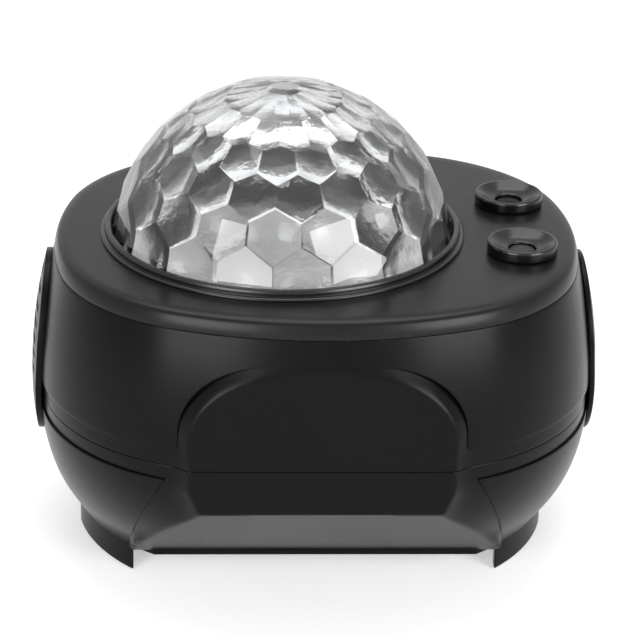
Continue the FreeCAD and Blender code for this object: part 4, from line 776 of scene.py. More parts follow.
def paint_packed_nodes():
    """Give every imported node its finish, whether it shows or a piece stands for it."""
    for name, nodes in NODES_BY_FINISH.items():
        for node in nodes:
            mesh = NODES[node].data
            mesh.materials.clear()
            mesh.materials.append(material_of(name))


def finish_of(node):
    return material_of(next(name for name, nodes in NODES_BY_FINISH.items() if node in nodes))


SMOOTH_NODES = {
    "power_button": ("button_cap", 0.25 * MM),
    "power_inlet": ("inlet_socket", None),
    "usb_socket": ("data_socket_shell", None),
    "ripple_gear_rim": ("ripple_rim", None),
    "ripple_disc": ("ripple_plate", None),
    "speaker_cone": ("cone_paper", None),
    "speaker_frame": ("speaker_basket", None),
    "chassis_plate": ("chassis", None),
    "base_cover": ("base_plate", 0.2 * MM),
}


# The bare panels with their facets

ARCH_HALF = 40.2 * MM
ARCH_TOP_Z = 84.3 * MM
ARCH_FLAT = 13.2 * MM
ARCH_SPRING_Z = 62.3 * MM
ARCH_FOOT = 3.0 * MM
BAND_LOW_Z = 60 * MM
RECESS_LOW_Z = 62 * MM
RECESS_RISE = 14 * MM
PAD_HALF = 60 * MM
PAD_FOOT_HALF = 46.1 * MM
PAD_FOOT_Z = 24 * MM
HOUSING_WALL = 2.6 * MM
HOUSING_FLOOR = 2.5 * MM
SPEAKER_BORE = 14.6 * MM
SKIRT_LOW_Z = 8.8 * MM
SKIRT_RISE = 39.2 * MM
SKIRT_LOW_HALF = 54.6 * MM
SKIRT_NARROWING = 10.9 * MM
FOOT_HALF = 53.8 * MM
FOOT_INSETS = (0.6 * MM, 3.6 * MM)
PLATE_PROUD = 1.75 * MM
PLATE_GAP = 0.05 * MM
DECK_HOLE = 51.8 * MM
DECK_THICKNESS = 2.5 * MM
DECK_WALL = 3.2 * MM


def soft_max(a, b, softness):
    share = np.clip(0.5 + 0.5 * (a - b) / softness, 0, 1)
    return b * (1 - share) + a * share + softness * share * (1 - share)


def soft_min(a, b, softness):
    return -soft_max(-a, -b, softness)


def arch_depth(x, z):
    """How far a place in front view lies inside the arch."""
    x = np.abs(x)
    wide, tall = ARCH_HALF - ARCH_FLAT, ARCH_TOP_Z - ARCH_SPRING_Z
    over = np.maximum(z - ARCH_SPRING_Z, 0.0)
    aside = np.maximum(x - ARCH_FLAT, 1e-6)
    share = np.sqrt((aside / wide) ** 2 + (over / tall) ** 2)
    slope = np.sqrt((aside / wide ** 2) ** 2 + (over / tall ** 2) ** 2) / np.maximum(share, 1e-6)
    corner = (1 - share) / np.maximum(slope, 1e-6)
    return np.where(z < ARCH_SPRING_Z, ARCH_HALF - x, np.where(x < ARCH_FLAT, ARCH_TOP_Z - z, corner))


class PanelForm:
    """The bare panels in front and behind: facet, slope, and the bevels that lead back to the bowl."""

    def __init__(self, panel, deeper=0.0):
        self.panel = panel
        self.deeper = deeper
        low = np.array([panel.facet_low_half, -panel.facet_y, panel.facet_low_z])
        edge = np.array([panel.facet_half, -panel.facet_y, panel.facet_corner_z])
        share = (PAD_FOOT_Z - panel.slope_low_z) / (panel.facet_low_z - panel.slope_low_z)
        foot_y = panel.slope_low_y + (panel.facet_y - panel.slope_low_y) * share
        foot = np.array([PAD_FOOT_HALF, -foot_y, PAD_FOOT_Z])
        bevel = np.cross(low - edge, foot - edge)
        bevel = bevel / np.linalg.norm(bevel)
        self.bevel = bevel if bevel[0] > 0 else -bevel
        self.edge = edge
        rise = np.array([0.0, panel.slope_low_z - panel.facet_low_z, panel.slope_low_y - panel.facet_y])
        self.slope = rise / np.linalg.norm(rise)
        self.low = low

    def recess(self, z):
        panel = self.panel
        share = np.clip((z - RECESS_LOW_Z) / RECESS_RISE, 0, 1)
        return panel.recess + (panel.arch_recess - panel.recess) * share * share * (3 - 2 * share)

    def outside(self, place, beyond):
        """How far places lie outside the panel; beyond is their distance outside the outer form."""
        panel = self.panel
        spot = np.stack([np.abs(place[..., 0]), -np.abs(place[..., 1]), place[..., 2]], -1)
        facet = -spot[..., 1] - panel.facet_y
        slope = (spot - self.low) @ self.slope
        z = spot[..., 2]
        share = np.clip((z - BAND_LOW_Z) / (ARCH_TOP_Z - BAND_LOW_Z), 0, 1)
        band = (ARCH_HALF - panel.facet_half) * (1 - share) + panel.top_band * share
        depth = arch_depth(spot[..., 0], z)
        bowl = beyond + self.recess(z)
        side = facet + panel.side_fall * np.maximum(1 - depth / band, 0)
        inner = np.clip(depth / band, 0, 1)
        arch = facet * inner + bowl * (1 - inner)
        upper = np.clip((z - SHELL_LOW_Z + 2 * MM) / (8 * MM), 0, 1)
        upper = upper * upper * (3 - 2 * upper)
        low_side = (spot - self.edge) @ self.bevel
        pad = soft_max(side * (1 - upper) + arch * upper, low_side, 0.4 * panel.blend)
        full = soft_min(bowl, pad, panel.blend)
        near = spot[..., 0] < np.where(z < SHELL_LOW_Z, skirt_edge(z), PAD_HALF)
        full = np.where(near, full, bowl)
        flat = soft_max(facet, slope, 0.5 * panel.crease)
        return soft_max(flat, full, panel.crease) + self.deeper


def panel_points(barrel, shape, facing, z):
    """The panel's points for facing directions at one height."""
    start, out = barrel.spot(facing, z, 0.0)
    low = np.full(start.shape[:-1], -8 * MM)
    high = low + 70 * MM
    for _ in range(32):
        middle = (low + high) / 2
        outside = shape.outside(start - out * middle[..., None], -middle)
        low = np.where(outside > 0, middle, low)
        high = np.where(outside > 0, high, middle)
    return start - out * high[..., None]


def panel_rows(sizes, panel, fine_half, heights, inner_heights):
    """Rows of points up the outside of a housing and down its inside."""
    barrel = Barrel(sizes)
    facing = barrel.columns(0.6 * MM, 2.2 * MM, fine_half)
    rows = []
    for deeper, levels in ((0.0, heights), (HOUSING_WALL, inner_heights)):
        shape = PanelForm(panel, deeper)
        rows += [panel_points(barrel, shape, facing, z) for z in levels]
    return rows


def make_upper_housing(sizes, panel):
    low = low_of("upper_housing").z
    high = high_of("upper_housing").z - 0.4 * MM
    rows = panel_rows(sizes, panel, 48 * MM, np.linspace(low, high, 62), np.linspace(high, low, 10))
    item = new_piece("upper_panel", ring_mesh("upper_panel", rows), BODY, material_of("body"),
                     "housing_black")
    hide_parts("upper_housing")
    cutters = []
    near, far, gap = 55 * MM, 90 * MM, 0.2 * MM
    for node, radius in (("power_inlet", 4.4 * MM), ("power_button", 4.3 * MM)):
        middle = middle_of(node)
        cutters.append(rod_cutter(radius, (middle.x, near, middle.z), (middle.x, far, middle.z)))
    low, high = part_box("usb_socket")
    cutters.append(box_cutter((low.x - gap, near, low.z - gap), (high.x + gap, far, high.z + gap)))
    cutters.append(speaker_cutter())
    cut_with(item, cutters)
    finish(item, sizes.edge * 0.7, angle=50)


def speaker_cutter():
    height = middle_of("speaker_frame").z
    return rod_cutter(SPEAKER_BORE, (-60 * MM, 0, height), (-100 * MM, 0, height))


def make_lower_housing(sizes, panel):
    low = panel.slope_low_z + 0.05 * MM
    high = high_of("lower_housing").z
    rows = panel_rows(sizes, panel, 56 * MM, np.linspace(low, high, 70),
                      np.linspace(high, low + HOUSING_FLOOR, 12))
    floor_low = rows[0] * np.array([0.6, 0.6, 1.0])
    floor_high = floor_low + np.array([0.0, 0.0, HOUSING_FLOOR])
    item = new_piece("lower_panel", ring_mesh("lower_panel", rows + [floor_high, floor_low]),
                     BODY, material_of("body"), "housing_black")
    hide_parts("lower_housing")
    finish(item, sizes.edge * 0.8, angle=50)


# Outer skins

def arch_line():
    """The arch in front view, from its right foot over the top to its left foot."""
    steps = np.linspace(0, PI / 2, 9)
    foot = [(ARCH_HALF + ARCH_FOOT * (1 - math.sin(a)), SHELL_LOW_Z + ARCH_FOOT * (1 - math.cos(a)))
            for a in steps]
    side = [(ARCH_HALF, SHELL_LOW_Z + ARCH_FOOT + share * (ARCH_SPRING_Z - SHELL_LOW_Z - ARCH_FOOT))
            for share in (0.3, 0.65)]
    wide, tall = ARCH_HALF - ARCH_FLAT, ARCH_TOP_Z - ARCH_SPRING_Z
    curve = [(ARCH_FLAT + wide * math.cos(a), ARCH_SPRING_Z + tall * math.sin(a))
             for a in np.linspace(0, PI / 2, 45)]
    flat = [(x, ARCH_TOP_Z) for x in np.linspace(ARCH_FLAT, 0, 16)[1:]]
    right = foot + side + curve + flat
    return right + [(-x, z) for x, z in reversed(right[:-1])]


def make_arched_shell(sizes):
    barrel = Barrel(sizes)
    line = np.array(arch_line())
    count = len(line)
    corner = next(k for k, z in enumerate(line[:, 1]) if z > 76 * MM)
    edge = float(barrel.facing_at_x(58 * MM, PARTING_Z, 0.0, 1))
    heights = np.linspace(SHELL_LOW_Z, SEAM_Z, corner + 1)
    shares = np.linspace(0, 1, 22) ** 1.4
    patches = []
    for side in (1, -1):
        points = line if side > 0 else line * np.array([-1, 1])
        arch = barrel.facing_at_x(points[:, 0], points[:, 1], 0.0, side)
        first, last = (edge, PI - edge) if side > 0 else (PI + edge, 2 * PI - edge)
        top = np.linspace(first, last, count - 2 * corner)
        rim_facing = np.concatenate([np.full(corner, first), top, np.full(corner, last)])
        rim_z = np.concatenate([heights[:-1], np.full(count - 2 * corner, SEAM_Z), heights[:-1][::-1]])
        grid = [barrel.spot(arch + (rim_facing - arch) * share,
                            points[:, 1] + (rim_z - points[:, 1]) * share, 0.0)[0] for share in shares]
        patches.append(np.stack(grid))
    for first in (-edge, PI - edge):
        columns = np.linspace(first, first + 2 * edge, 64)
        patches.append(np.stack([barrel.spot(columns, z, 0.0)[0] for z in heights]))
    item = skin_piece("upper_skin", patches, sizes.skin, material_of("body"), "housing_black")
    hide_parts("arched_shell")
    cut_with(item, [speaker_cutter()])
    finish(item, 0.4 * MM, angle=50)


def skirt_edge(z):
    """Half width between the skirts' curved front edges at a height."""
    share = np.clip((np.asarray(z, float) - SKIRT_LOW_Z) / SKIRT_RISE, 0, 1.1)
    return SKIRT_LOW_HALF - SKIRT_NARROWING * share ** 2


def side_facings(barrel, edge, z, inset, side, count):
    """Facing directions round one side, between the places with a given x in front and behind."""
    behind = float(barrel.facing_at_x(side * edge, z, inset, 1))
    before = float(barrel.facing_at_x(side * edge, z, inset, -1))
    if side > 0:
        return np.linspace(before - 2 * PI, behind, count)
    return np.linspace(behind, before, count)


def make_skirts(sizes):
    barrel = Barrel(sizes)
    for name, node, side in (("left_side_skirt", "left_skirt", -1), ("right_side_skirt", "right_skirt", 1)):
        high = high_of(node).z
        grids = []
        for inset in (0.0, sizes.skin):
            rows = []
            for z in np.linspace(SKIRT_LOW_Z, high, 60):
                facing = side_facings(barrel, float(skirt_edge(z)), z, 0.0, side, 200)
                rows.append(barrel.spot(facing, z, inset)[0])
            grids.append(np.stack(rows))
        item = new_piece(name, patch_mesh(name, *grids), BODY, material_of("body"), "housing_black")
        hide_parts(node)
        finish(item, sizes.edge)
        grids = []
        for inset in FOOT_INSETS:
            facing = side_facings(barrel, FOOT_HALF, SKIRT_LOW_Z, inset, side, 120)
            wall = barrel.spot(facing, SKIRT_LOW_Z, inset)[0]
            levels = np.linspace(0, SKIRT_LOW_Z + 0.8 * MM, 12)
            grids.append(np.stack([wall * np.array([1, 1, 0]) + np.array([0, 0, z]) for z in levels]))
        name = name.replace("skirt", "foot")
        item = new_piece(name, patch_mesh(name, *grids), BODY, material_of("body"), "housing_black")
        finish(item, 1.1 * MM, segments=4)


def make_side_plates(sizes):
    barrel = Barrel(sizes)
    low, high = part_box("right_side_plate")
    low, high, half = low.z, high.z, (high.y - low.y) / 2
    straight = (high - low) / 2 - half
    middle = (low + high) / 2
    around = np.linspace(0, 2 * PI, 200, endpoint=False)
    rim_y = half * np.cos(around)
    rim_z = half * np.sin(around) + np.where(np.sin(around) >= 0, straight, -straight)

    def level(side, share, proud):
        y = rim_y * share
        z = middle + rim_z * share
        return np.stack([side * barrel.side_x(y, z, proud), y, z], -1)

    shares = [0.001] + list(np.linspace(0.05, 1, 26))
    for name, node, side in (("speaker_cover", "speaker_grille", -1), ("side_plate", "right_side_plate", 1)):
        rows = [level(side, share, PLATE_PROUD) for share in shares]
        rows += [level(side, share, PLATE_GAP) for share in reversed(shares)]
        item = new_piece(name, ring_mesh(name, rows), BODY, material_of("grille"), "grille_black")
        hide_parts(node)
        if side < 0:
            cut_with(item, [slot_cutters()])
        finish(item, 0.6 * MM, angle=50, segments=3)


def make_deck(sizes):
    barrel = Barrel(sizes)
    facing = barrel.columns(1.0 * MM, 1.4 * MM, 48 * MM)
    low = SEAM_Z + 0.2 * MM
    start = float(barrel.drop(low))

    def level(z, inset):
        place, _out = barrel.spot(facing, PARTING_Z, start + inset)
        return place * np.array([1, 1, 0]) + np.array([0, 0, z])

    rows = [level(low + (DECK_Z - low) * share, sizes.deck_roll * (0.4 * share ** 2 + 0.6 * share ** 14))
            for share in np.sin(np.linspace(0, PI / 2, 30))]
    edge = rows[-1]
    centre = np.array([DOME_AXIS.x, DOME_AXIS.y, DECK_Z])
    away = edge - centre
    hole = centre + away / np.linalg.norm(away, axis=1)[:, None] * DECK_HOLE
    rows += [edge * (1 - share) + hole * share for share in np.linspace(0, 1, 10)[1:]]
    rows.append(hole - np.array([0, 0, DECK_THICKNESS]))
    rows += [level(DECK_Z - DECK_THICKNESS, DECK_WALL), level(low, DECK_WALL)]
    item = new_piece("deck_cover", ring_mesh("deck_cover", rows), BODY, material_of("deck"), "deck_black")
    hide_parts("top_cover")
    cutters = []
    for node in ("front_lens_bezel", "rear_lens_bezel"):
        middle = middle_of(node)
        cutters.append(rod_cutter(5.8 * MM, (middle.x, middle.y, 80 * MM), (middle.x, middle.y, 110 * MM)))
    cut_with(item, cutters)
    finish(item, 0.3 * MM, angle=50)


# What repeats: slots, screws and the dome's facets

def new_tree(name, inputs):
    """A geometry node tree with named inputs, and the identifier of each of them."""
    tree = bpy.data.node_groups.new(name, "GeometryNodeTree")
    tree.interface.new_socket("Geometry", in_out="INPUT", socket_type="NodeSocketGeometry")
    sockets = {}
    for label, kind in inputs:
        socket = tree.interface.new_socket(label, in_out="INPUT", socket_type="NodeSocket" + kind)
        sockets[label] = socket.identifier
    tree.interface.new_socket("Geometry", in_out="OUTPUT", socket_type="NodeSocketGeometry")
    return tree, sockets, tree.nodes.new("NodeGroupInput"), tree.nodes.new("NodeGroupOutput")


def instance_and_paint(tree, start, end, points, rotation=None, weld=None):
    """Put the incoming shape on points, make the copies real and give them their material."""
    inputs = {"Points": points, "Instance": start.outputs["Geometry"]}
    if rotation:
        inputs["Rotation"] = rotation
    place = add_node(tree, "GeometryNodeInstanceOnPoints", inputs)
    real = add_node(tree, "GeometryNodeRealizeInstances", {"Geometry": place.outputs["Instances"]})
    shape = real.outputs["Geometry"]
    if weld:
        merge = add_node(tree, "GeometryNodeMergeByDistance", {"Geometry": shape, "Distance": weld})
        shape = merge.outputs["Geometry"]
    paint = add_node(tree, "GeometryNodeSetMaterial",
                     {"Geometry": shape, "Material": start.outputs["Material"]})
    tree.links.new(paint.outputs["Geometry"], end.inputs[0])
    return real, paint


def run_tree(item, tree, sockets, values):
    """Set a tree's inputs by their identifiers and keep the plain mesh that it makes."""
    modifier = item.modifiers.new("repeat", "NODES")
    modifier.node_group = tree
    for label, value in values.items():
        modifier[sockets[label]] = value
    settle(item)


def round_axis_tree():
    """Copies turned about a vertical axis and welded where they meet."""
    tree, sockets, start, end = new_tree("repeat_round_axis", (
        ("Count", "Int"), ("Axis place", "Vector"), ("First turn", "Float"), ("Weld distance", "Float"),
        ("Material", "Material")))
    asked = start.outputs
    line = add_node(tree, "GeometryNodeMeshLine", {
        "Offset": (0, 0, 0), "Count": asked["Count"], "Start Location": asked["Axis place"]}, mode="OFFSET")
    index = add_node(tree, "GeometryNodeInputIndex").outputs[0]
    step = math_node(tree, "DIVIDE", 2 * PI, asked["Count"])
    angle = math_node(tree, "MULTIPLY_ADD", index, step, asked["First turn"])
    euler = add_node(tree, "ShaderNodeCombineXYZ", {"Z": angle})
    instance_and_paint(tree, start, end, line.outputs["Mesh"], euler.outputs["Vector"],
                       asked["Weld distance"])
    return tree, sockets


def corner_grid_tree():
    """Four copies on the corners of a level rectangle."""
    tree, sockets, start, end = new_tree("corner_grid", (
        ("Spacing across", "Float"), ("Spacing along", "Float"), ("Centre", "Vector"),
        ("Material", "Material")))
    asked = start.outputs
    grid = add_node(tree, "GeometryNodeMeshGrid", {
        "Vertices X": 2, "Vertices Y": 2, "Size X": asked["Spacing across"],
        "Size Y": asked["Spacing along"]})
    move = add_node(tree, "GeometryNodeSetPosition",
                    {"Geometry": grid.outputs["Mesh"], "Offset": asked["Centre"]})
    instance_and_paint(tree, start, end, move.outputs["Geometry"])
    return tree, sockets


def slot_row_tree():
    """A column of slots whose length follows the plate's round top."""
    tree, sockets, start, end = new_tree("slot_row", (
        ("Count", "Int"), ("First slot", "Vector"), ("Pitch", "Float"), ("Plate radius", "Float"),
        ("Round above", "Float"), ("Margin", "Float"), ("Material", "Material")))
    asked = start.outputs
    step = add_node(tree, "ShaderNodeCombineXYZ", {"Z": asked["Pitch"]})
    line = add_node(tree, "GeometryNodeMeshLine", {
        "Offset": step.outputs["Vector"], "Count": asked["Count"],
        "Start Location": asked["First slot"]}, mode="OFFSET")
    place = add_node(tree, "GeometryNodeInputPosition")
    parts = add_node(tree, "ShaderNodeSeparateXYZ", {"Vector": place.outputs["Position"]}).outputs
    above = math_node(tree, "SUBTRACT", parts["Z"], asked["Round above"])
    above = math_node(tree, "MAXIMUM", above, 0.0)
    square = math_node(tree, "MULTIPLY", above, above)
    whole = math_node(tree, "MULTIPLY", asked["Plate radius"], asked["Plate radius"])
    half = math_node(tree, "SQRT", math_node(tree, "SUBTRACT", whole, square))
    half = math_node(tree, "SUBTRACT", half, asked["Margin"])
    store = add_node(tree, "GeometryNodeStoreNamedAttribute", {
        "Name": "slot_half", "Geometry": line.outputs["Mesh"], "Value": half},
        data_type="FLOAT", domain="POINT")
    real, paint = instance_and_paint(tree, start, end, store.outputs["Geometry"])
    read = add_node(tree, "GeometryNodeInputNamedAttribute", {"Name": "slot_half"}, data_type="FLOAT")
    shift = math_node(tree, "MULTIPLY", math_node(tree, "SIGN", parts["Y"]), read.outputs["Attribute"])
    aside = add_node(tree, "ShaderNodeCombineXYZ", {"Y": shift})
    move = add_node(tree, "GeometryNodeSetPosition",
                    {"Geometry": real.outputs["Geometry"], "Offset": aside.outputs["Vector"]})
    tree.links.new(move.outputs["Geometry"], paint.inputs["Geometry"])
    return tree, sockets


def slot_cutters():
    """Seven round-ended cutters in a column, as one mesh."""
    radius = 1.1 * MM
    outline = []
    for end in (1, -1):
        for step in range(11):
            angle = -PI / 2 + PI * step / 10
            outline.append((end * (0.1 * MM + radius * math.cos(angle)), end * radius * math.sin(angle)))
    work = bmesh.new()
    near = [work.verts.new((12 * MM, y, z)) for y, z in outline]
    far = [work.verts.new((-12 * MM, y, z)) for y, z in outline]
    work.faces.new(near)
    work.faces.new(list(reversed(far)))
    for here in range(len(outline)):
        there = (here + 1) % len(outline)
        work.faces.new((near[here], far[here], far[there], near[there]))
    item = cutter_from(work)
    tree, sockets = slot_row_tree()
    run_tree(item, tree, sockets, {
        "Count": 7, "First slot": (-84 * MM, 0.0, 57.7 * MM), "Pitch": 4.6 * MM,
        "Plate radius": 21 * MM, "Round above": 67.5 * MM, "Margin": 5.6 * MM,
        "Material": material_of("grille")})
    return item


def screw_mesh(name, shank, length, head_down):
    """A pan-head screw with a cross recess and a threaded shank, its head's face at height 0."""
    head, tall = 2.4 * MM, 1.6 * MM
    section = [(0.02 * MM, 0.0), (1.6 * MM, 0.0), (2.1 * MM, 0.15 * MM), (head, 0.7 * MM), (head, tall),
               (shank, tall)]
    count = int(length / (0.4 * MM))
    for number in range(count):
        z = tall + (number + 0.5) * length / count
        section += [(shank, z), (shank * 0.86, z + 0.25 * length / count)]
    section += [(shank * 0.6, tall + length), (0.02 * MM, tall + length)]
    item = link(bpy.data.objects.new(name, turned_mesh(name, section, (0.0, 0.0), 28)))
    arm, wide = 1.35 * MM, 0.28 * MM
    cutters = [box_cutter((-arm, -wide, -1 * MM), (arm, wide, 0.8 * MM)),
               box_cutter((-wide, -arm, -1 * MM), (wide, arm, 0.8 * MM))]
    cut_with(item, cutters)
    mesh = item.data
    bpy.data.objects.remove(item)
    if not head_down:
        mesh.transform(Matrix.Rotation(PI, 4, "X"))
    return mesh


def make_screws():
    """Every set of four screws, from one screw each."""
    for node in ("base_cover_screws", "housing_screws", "board_screws", "chassis_screws", "dome_screws"):
        low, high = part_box(node)
        head_down = node != "board_screws"
        shank = (0.8 if node in ("dome_screws", "base_cover_screws", "board_screws") else 1.2) * MM
        length = high.z - low.z - 1.6 * MM
        name = node[:-1] + "_set"
        mesh = screw_mesh(name, shank, length, head_down)
        item = new_piece(name, mesh, BODY, material_of("steel"), "steel")
        tree, sockets = corner_grid_tree()
        middle = (low + high) / 2
        run_tree(item, tree, sockets, {
            "Spacing across": high.x - low.x - 4.8 * MM, "Spacing along": high.y - low.y - 4.8 * MM,
            "Centre": (middle.x, middle.y, low.z if head_down else high.z), "Material": material_of("steel")})
        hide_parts(node)
        finish(item, keep=40)


# Dome, ring and lenses

ROW_ANGLES = (79.0, 65.4, 51.4, 39.4, 26.9, 14.0)


def dome_sector(radius, low_z, top_z, pitch):
    """The corners of one facet of each row and the facets' directions, on the dome's own axis."""
    share = math.cos(pitch / 2)
    rows = [math.radians(a) for a in ROW_ANGLES]

    def meet(angle, a, b):
        """The point on an edge between neighbours of row a that also lies on row b's facet."""
        left = (math.sin(a) * share, math.cos(a))
        right = (math.sin(b), math.cos(b))
        det = left[0] * right[1] - left[1] * right[0]
        reach = radius * (right[1] - left[1]) / det
        return (reach * math.sin(angle), -reach * math.cos(angle), radius * (left[0] - right[0]) / det)

    def level(angle, a, z):
        reach = (radius - z * math.cos(a)) / (math.sin(a) * share)
        return (reach * math.sin(angle), -reach * math.cos(angle), z)

    facets = []
    for number, own in enumerate(rows):
        centre = (number % 2) * pitch / 2
        left, right = centre - pitch / 2, centre + pitch / 2
        if number == 0:
            ring = [level(left, own, low_z), level(right, own, low_z)]
        else:
            below = rows[number - 1]
            ring = [meet(left, own, below), meet(centre, below, own), meet(right, own, below)]
        if number == len(rows) - 1:
            ring += [level(right, own, top_z), level(left, own, top_z)]
        else:
            above = rows[number + 1]
            ring += [meet(right, own, above), meet(centre, above, own), meet(left, own, above)]
        normal = (math.sin(own) * math.sin(centre), -math.sin(own) * math.cos(centre), math.cos(own))
        facets.append((np.array(ring), np.array(normal)))
    return facets


LENS_EDGE_STEPS = 5
LENS_RINGS = 6


def sector_mesh(sizes, facets):
    """Outer facets, the small lenses behind them, and the strip that joins both at the foot."""
    reach = sizes.inner_radius + sizes.lens_radius
    points, faces = [], []

    def lens_point(place, normal):
        way = place / np.linalg.norm(place)
        ahead = reach * (way @ normal)
        return way * (ahead - math.sqrt(sizes.lens_radius ** 2 - reach ** 2 + ahead ** 2))

    for number, (ring, normal) in enumerate(facets):
        first = len(points)
        points += list(ring)
        faces.append(tuple(range(first, len(points))))
        rim = []
        for here, there in zip(ring, np.roll(ring, -1, axis=0)):
            rim += [here + (there - here) * step / LENS_EDGE_STEPS for step in range(LENS_EDGE_STEPS)]
        middle = normal * sizes.radius
        start = len(points)
        points.append(lens_point(middle, normal))
        for level in range(1, LENS_RINGS + 1):
            points += [lens_point(middle + (place - middle) * level / LENS_RINGS, normal) for place in rim]
        count = len(rim)
        for k in range(count):
            after = (k + 1) % count
            faces.append((start, start + 1 + after, start + 1 + k))
            for level in range(LENS_RINGS - 1):
                near = start + 1 + level * count
                faces.append((near + k, near + after, near + count + after, near + count + k))
        if number == 0:
            foot = start + 1 + (LENS_RINGS - 1) * count
            faces.append((first + 1, first, *range(foot, foot + LENS_EDGE_STEPS + 1)))
    return mesh_from("clear_dome", points, faces)


def make_dome(sizes):
    """Clear dome: flat facets with fine rounded edges outside, and a small lens behind each."""
    low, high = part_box("faceted_dome")
    facets = dome_sector(sizes.radius, low.z - sizes.centre_z, high.z - sizes.centre_z, 2 * PI / sizes.facets)
    item = new_piece("clear_dome", sector_mesh(sizes, facets), BODY, material_of("dome"), "dome_clear")
    centre = Vector((DOME_AXIS.x, DOME_AXIS.y, sizes.centre_z))
    tree, sockets = round_axis_tree()
    run_tree(item, tree, sockets, {
        "Count": sizes.facets, "Axis place": tuple(centre), "First turn": sizes.turn,
        "Weld distance": 0.02 * MM, "Material": material_of("dome")})
    work = bmesh.new()
    work.from_mesh(item.data)
    bmesh.ops.remove_doubles(work, verts=work.verts, dist=0.02 * MM)
    bmesh.ops.edgeloop_fill(work, edges=[edge for edge in work.edges if edge.is_boundary])
    bmesh.ops.recalc_face_normals(work, faces=work.faces)
    outer_reach = sizes.radius - 0.4 * MM
    seams = [edge for edge in work.edges
             if all((vert.co - centre).length > outer_reach for vert in edge.verts)
             and any(vert.co.z > low.z + 0.1 * MM for vert in edge.verts)]
    bmesh.ops.bevel(work, geom=seams, offset=sizes.edge, segments=2, profile=0.5, affect="EDGES",
                    clamp_overlap=True)
    add_flange(work, centre, low.z)
    work.to_mesh(item.data)
    work.free()
    shade(item.data, 11)
    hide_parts("faceted_dome")


def add_flange(work, centre, low):
    """The dome's clear flange below the deck, as a ring of its own."""
    sides = 180
    corners = [(50.9 * MM, low), (57 * MM, low), (57 * MM, low + 2.2 * MM), (50.9 * MM, low + 2.2 * MM)]
    rings = [[work.verts.new((centre.x + r * math.cos(2 * PI * k / sides),
                              centre.y + r * math.sin(2 * PI * k / sides), z)) for k in range(sides)]
             for r, z in corners]
    for number, ring in enumerate(rings):
        other = rings[(number + 1) % 4]
        for k in range(sides):
            after = (k + 1) % sides
            work.faces.new((ring[k], ring[after], other[after], other[k]))


def make_dome_ring():
    low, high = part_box("dome_ring")
    deck = DECK_Z
    top = high.z
    corners = [
        ((49.8 * MM, top - 1.4 * MM), 1.0), ((50.3 * MM, top), 1.0), ((51.6 * MM, top), 1.0),
        ((52.0 * MM, top - 0.8 * MM), 1.0), ((52.0 * MM, deck + 1.05 * MM), 0.25),
        ((52.7 * MM, deck + 1.0 * MM), 0.5), ((53.2 * MM, deck + 0.7 * MM), 0.5),
        ((53.2 * MM, deck + 0.02 * MM), 0.1), ((51.6 * MM, deck + 0.02 * MM), 0.1),
        ((51.6 * MM, low.z), 0.2), ((50.8 * MM, low.z), 0.2), ((49.8 * MM, deck + 0.4 * MM), 0.6),
    ]
    section = smooth_section(corners, 0.6 * MM)
    mesh = turned_mesh("dome_trim_ring", section, DOME_AXIS, 288)
    item = new_piece("dome_trim_ring", mesh, BODY, material_of("trim"), "trim_black")
    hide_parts("dome_ring")
    finish(item, keep=50)


def make_lens_bezels():
    for node in ("front_lens_bezel", "rear_lens_bezel"):
        low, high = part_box(node)
        middle = (low + high) / 2
        rim = (high.x - low.x) / 2
        top = high.z
        corners = [
            ((3.9 * MM, low.z), 0.1), ((3.9 * MM, top - 2.5 * MM), 0.3), ((4.3 * MM, top - 2.2 * MM), 0.3),
            ((6.3 * MM, top - 1.75 * MM), 1.5), ((rim - 1.5 * MM, top - 0.35 * MM), 1.2),
            ((rim - 1.0 * MM, top), 0.8), ((rim - 0.25 * MM, top - 0.1 * MM), 0.8),
            ((rim, top - 0.6 * MM), 0.6), ((rim, DECK_Z + 0.5 * MM), 0.5),
            ((rim - 0.35 * MM, DECK_Z + 0.02 * MM), 0.2), ((5.6 * MM, DECK_Z + 0.02 * MM), 0.1),
            ((5.6 * MM, low.z), 0.1),
        ]
        name = node.replace("lens_bezel", "bezel")
        mesh = turned_mesh(name, smooth_section(corners, 0.9 * MM), middle, 144)
        item = new_piece(name, mesh, BODY, material_of("trim"), "trim_black")
        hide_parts(node)
        finish(item, keep=50)


def make_lens_windows():
    """Lens bodies that fill the bezels' bores, the front one milky and the rear one dark."""
    for node, finish_name, slot in (("front_lens_window", "pale_window", "pale_glass"),
                                    ("rear_lens_window", "dark_window", "dark_glass")):
        low, _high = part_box(node)
        middle = middle_of(node)
        top = high_of(node.replace("window", "bezel")).z - 3.1 * MM
        radius, rise = 3.7 * MM, 0.5 * MM
        crown = [(radius * math.cos(a), top + rise * math.sin(a)) for a in np.linspace(0, PI / 2.02, 10)]
        section = [(0.02 * MM, low.z), (radius, low.z)] + crown
        name = node.replace("window", "glass")
        mesh = turned_mesh(name, section, middle, 72)
        item = new_piece(name, mesh, BODY, material_of(finish_name), slot)
        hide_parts(node)
        finish(item, keep=40)


def make_smooth_nodes():
    """Smoothly shaded stand-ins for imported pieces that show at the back, below or through the dome."""
    for node, (name, edge) in SMOOTH_NODES.items():
        slot = NODES[node].get("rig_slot")
        smooth_copy(node, name, finish_of(node), slot, edge)


# Studio

def pale_when_seen(tree):
    """A value of 1 where the camera or a reflection looks, and 0 where light is gathered."""
    path = add_node(tree, "ShaderNodeLightPath").outputs
    value = path["Is Camera Ray"]
    for name in ("Is Glossy Ray", "Is Transmission Ray"):
        value = math_node(tree, "MAXIMUM", value, path[name])
    return value


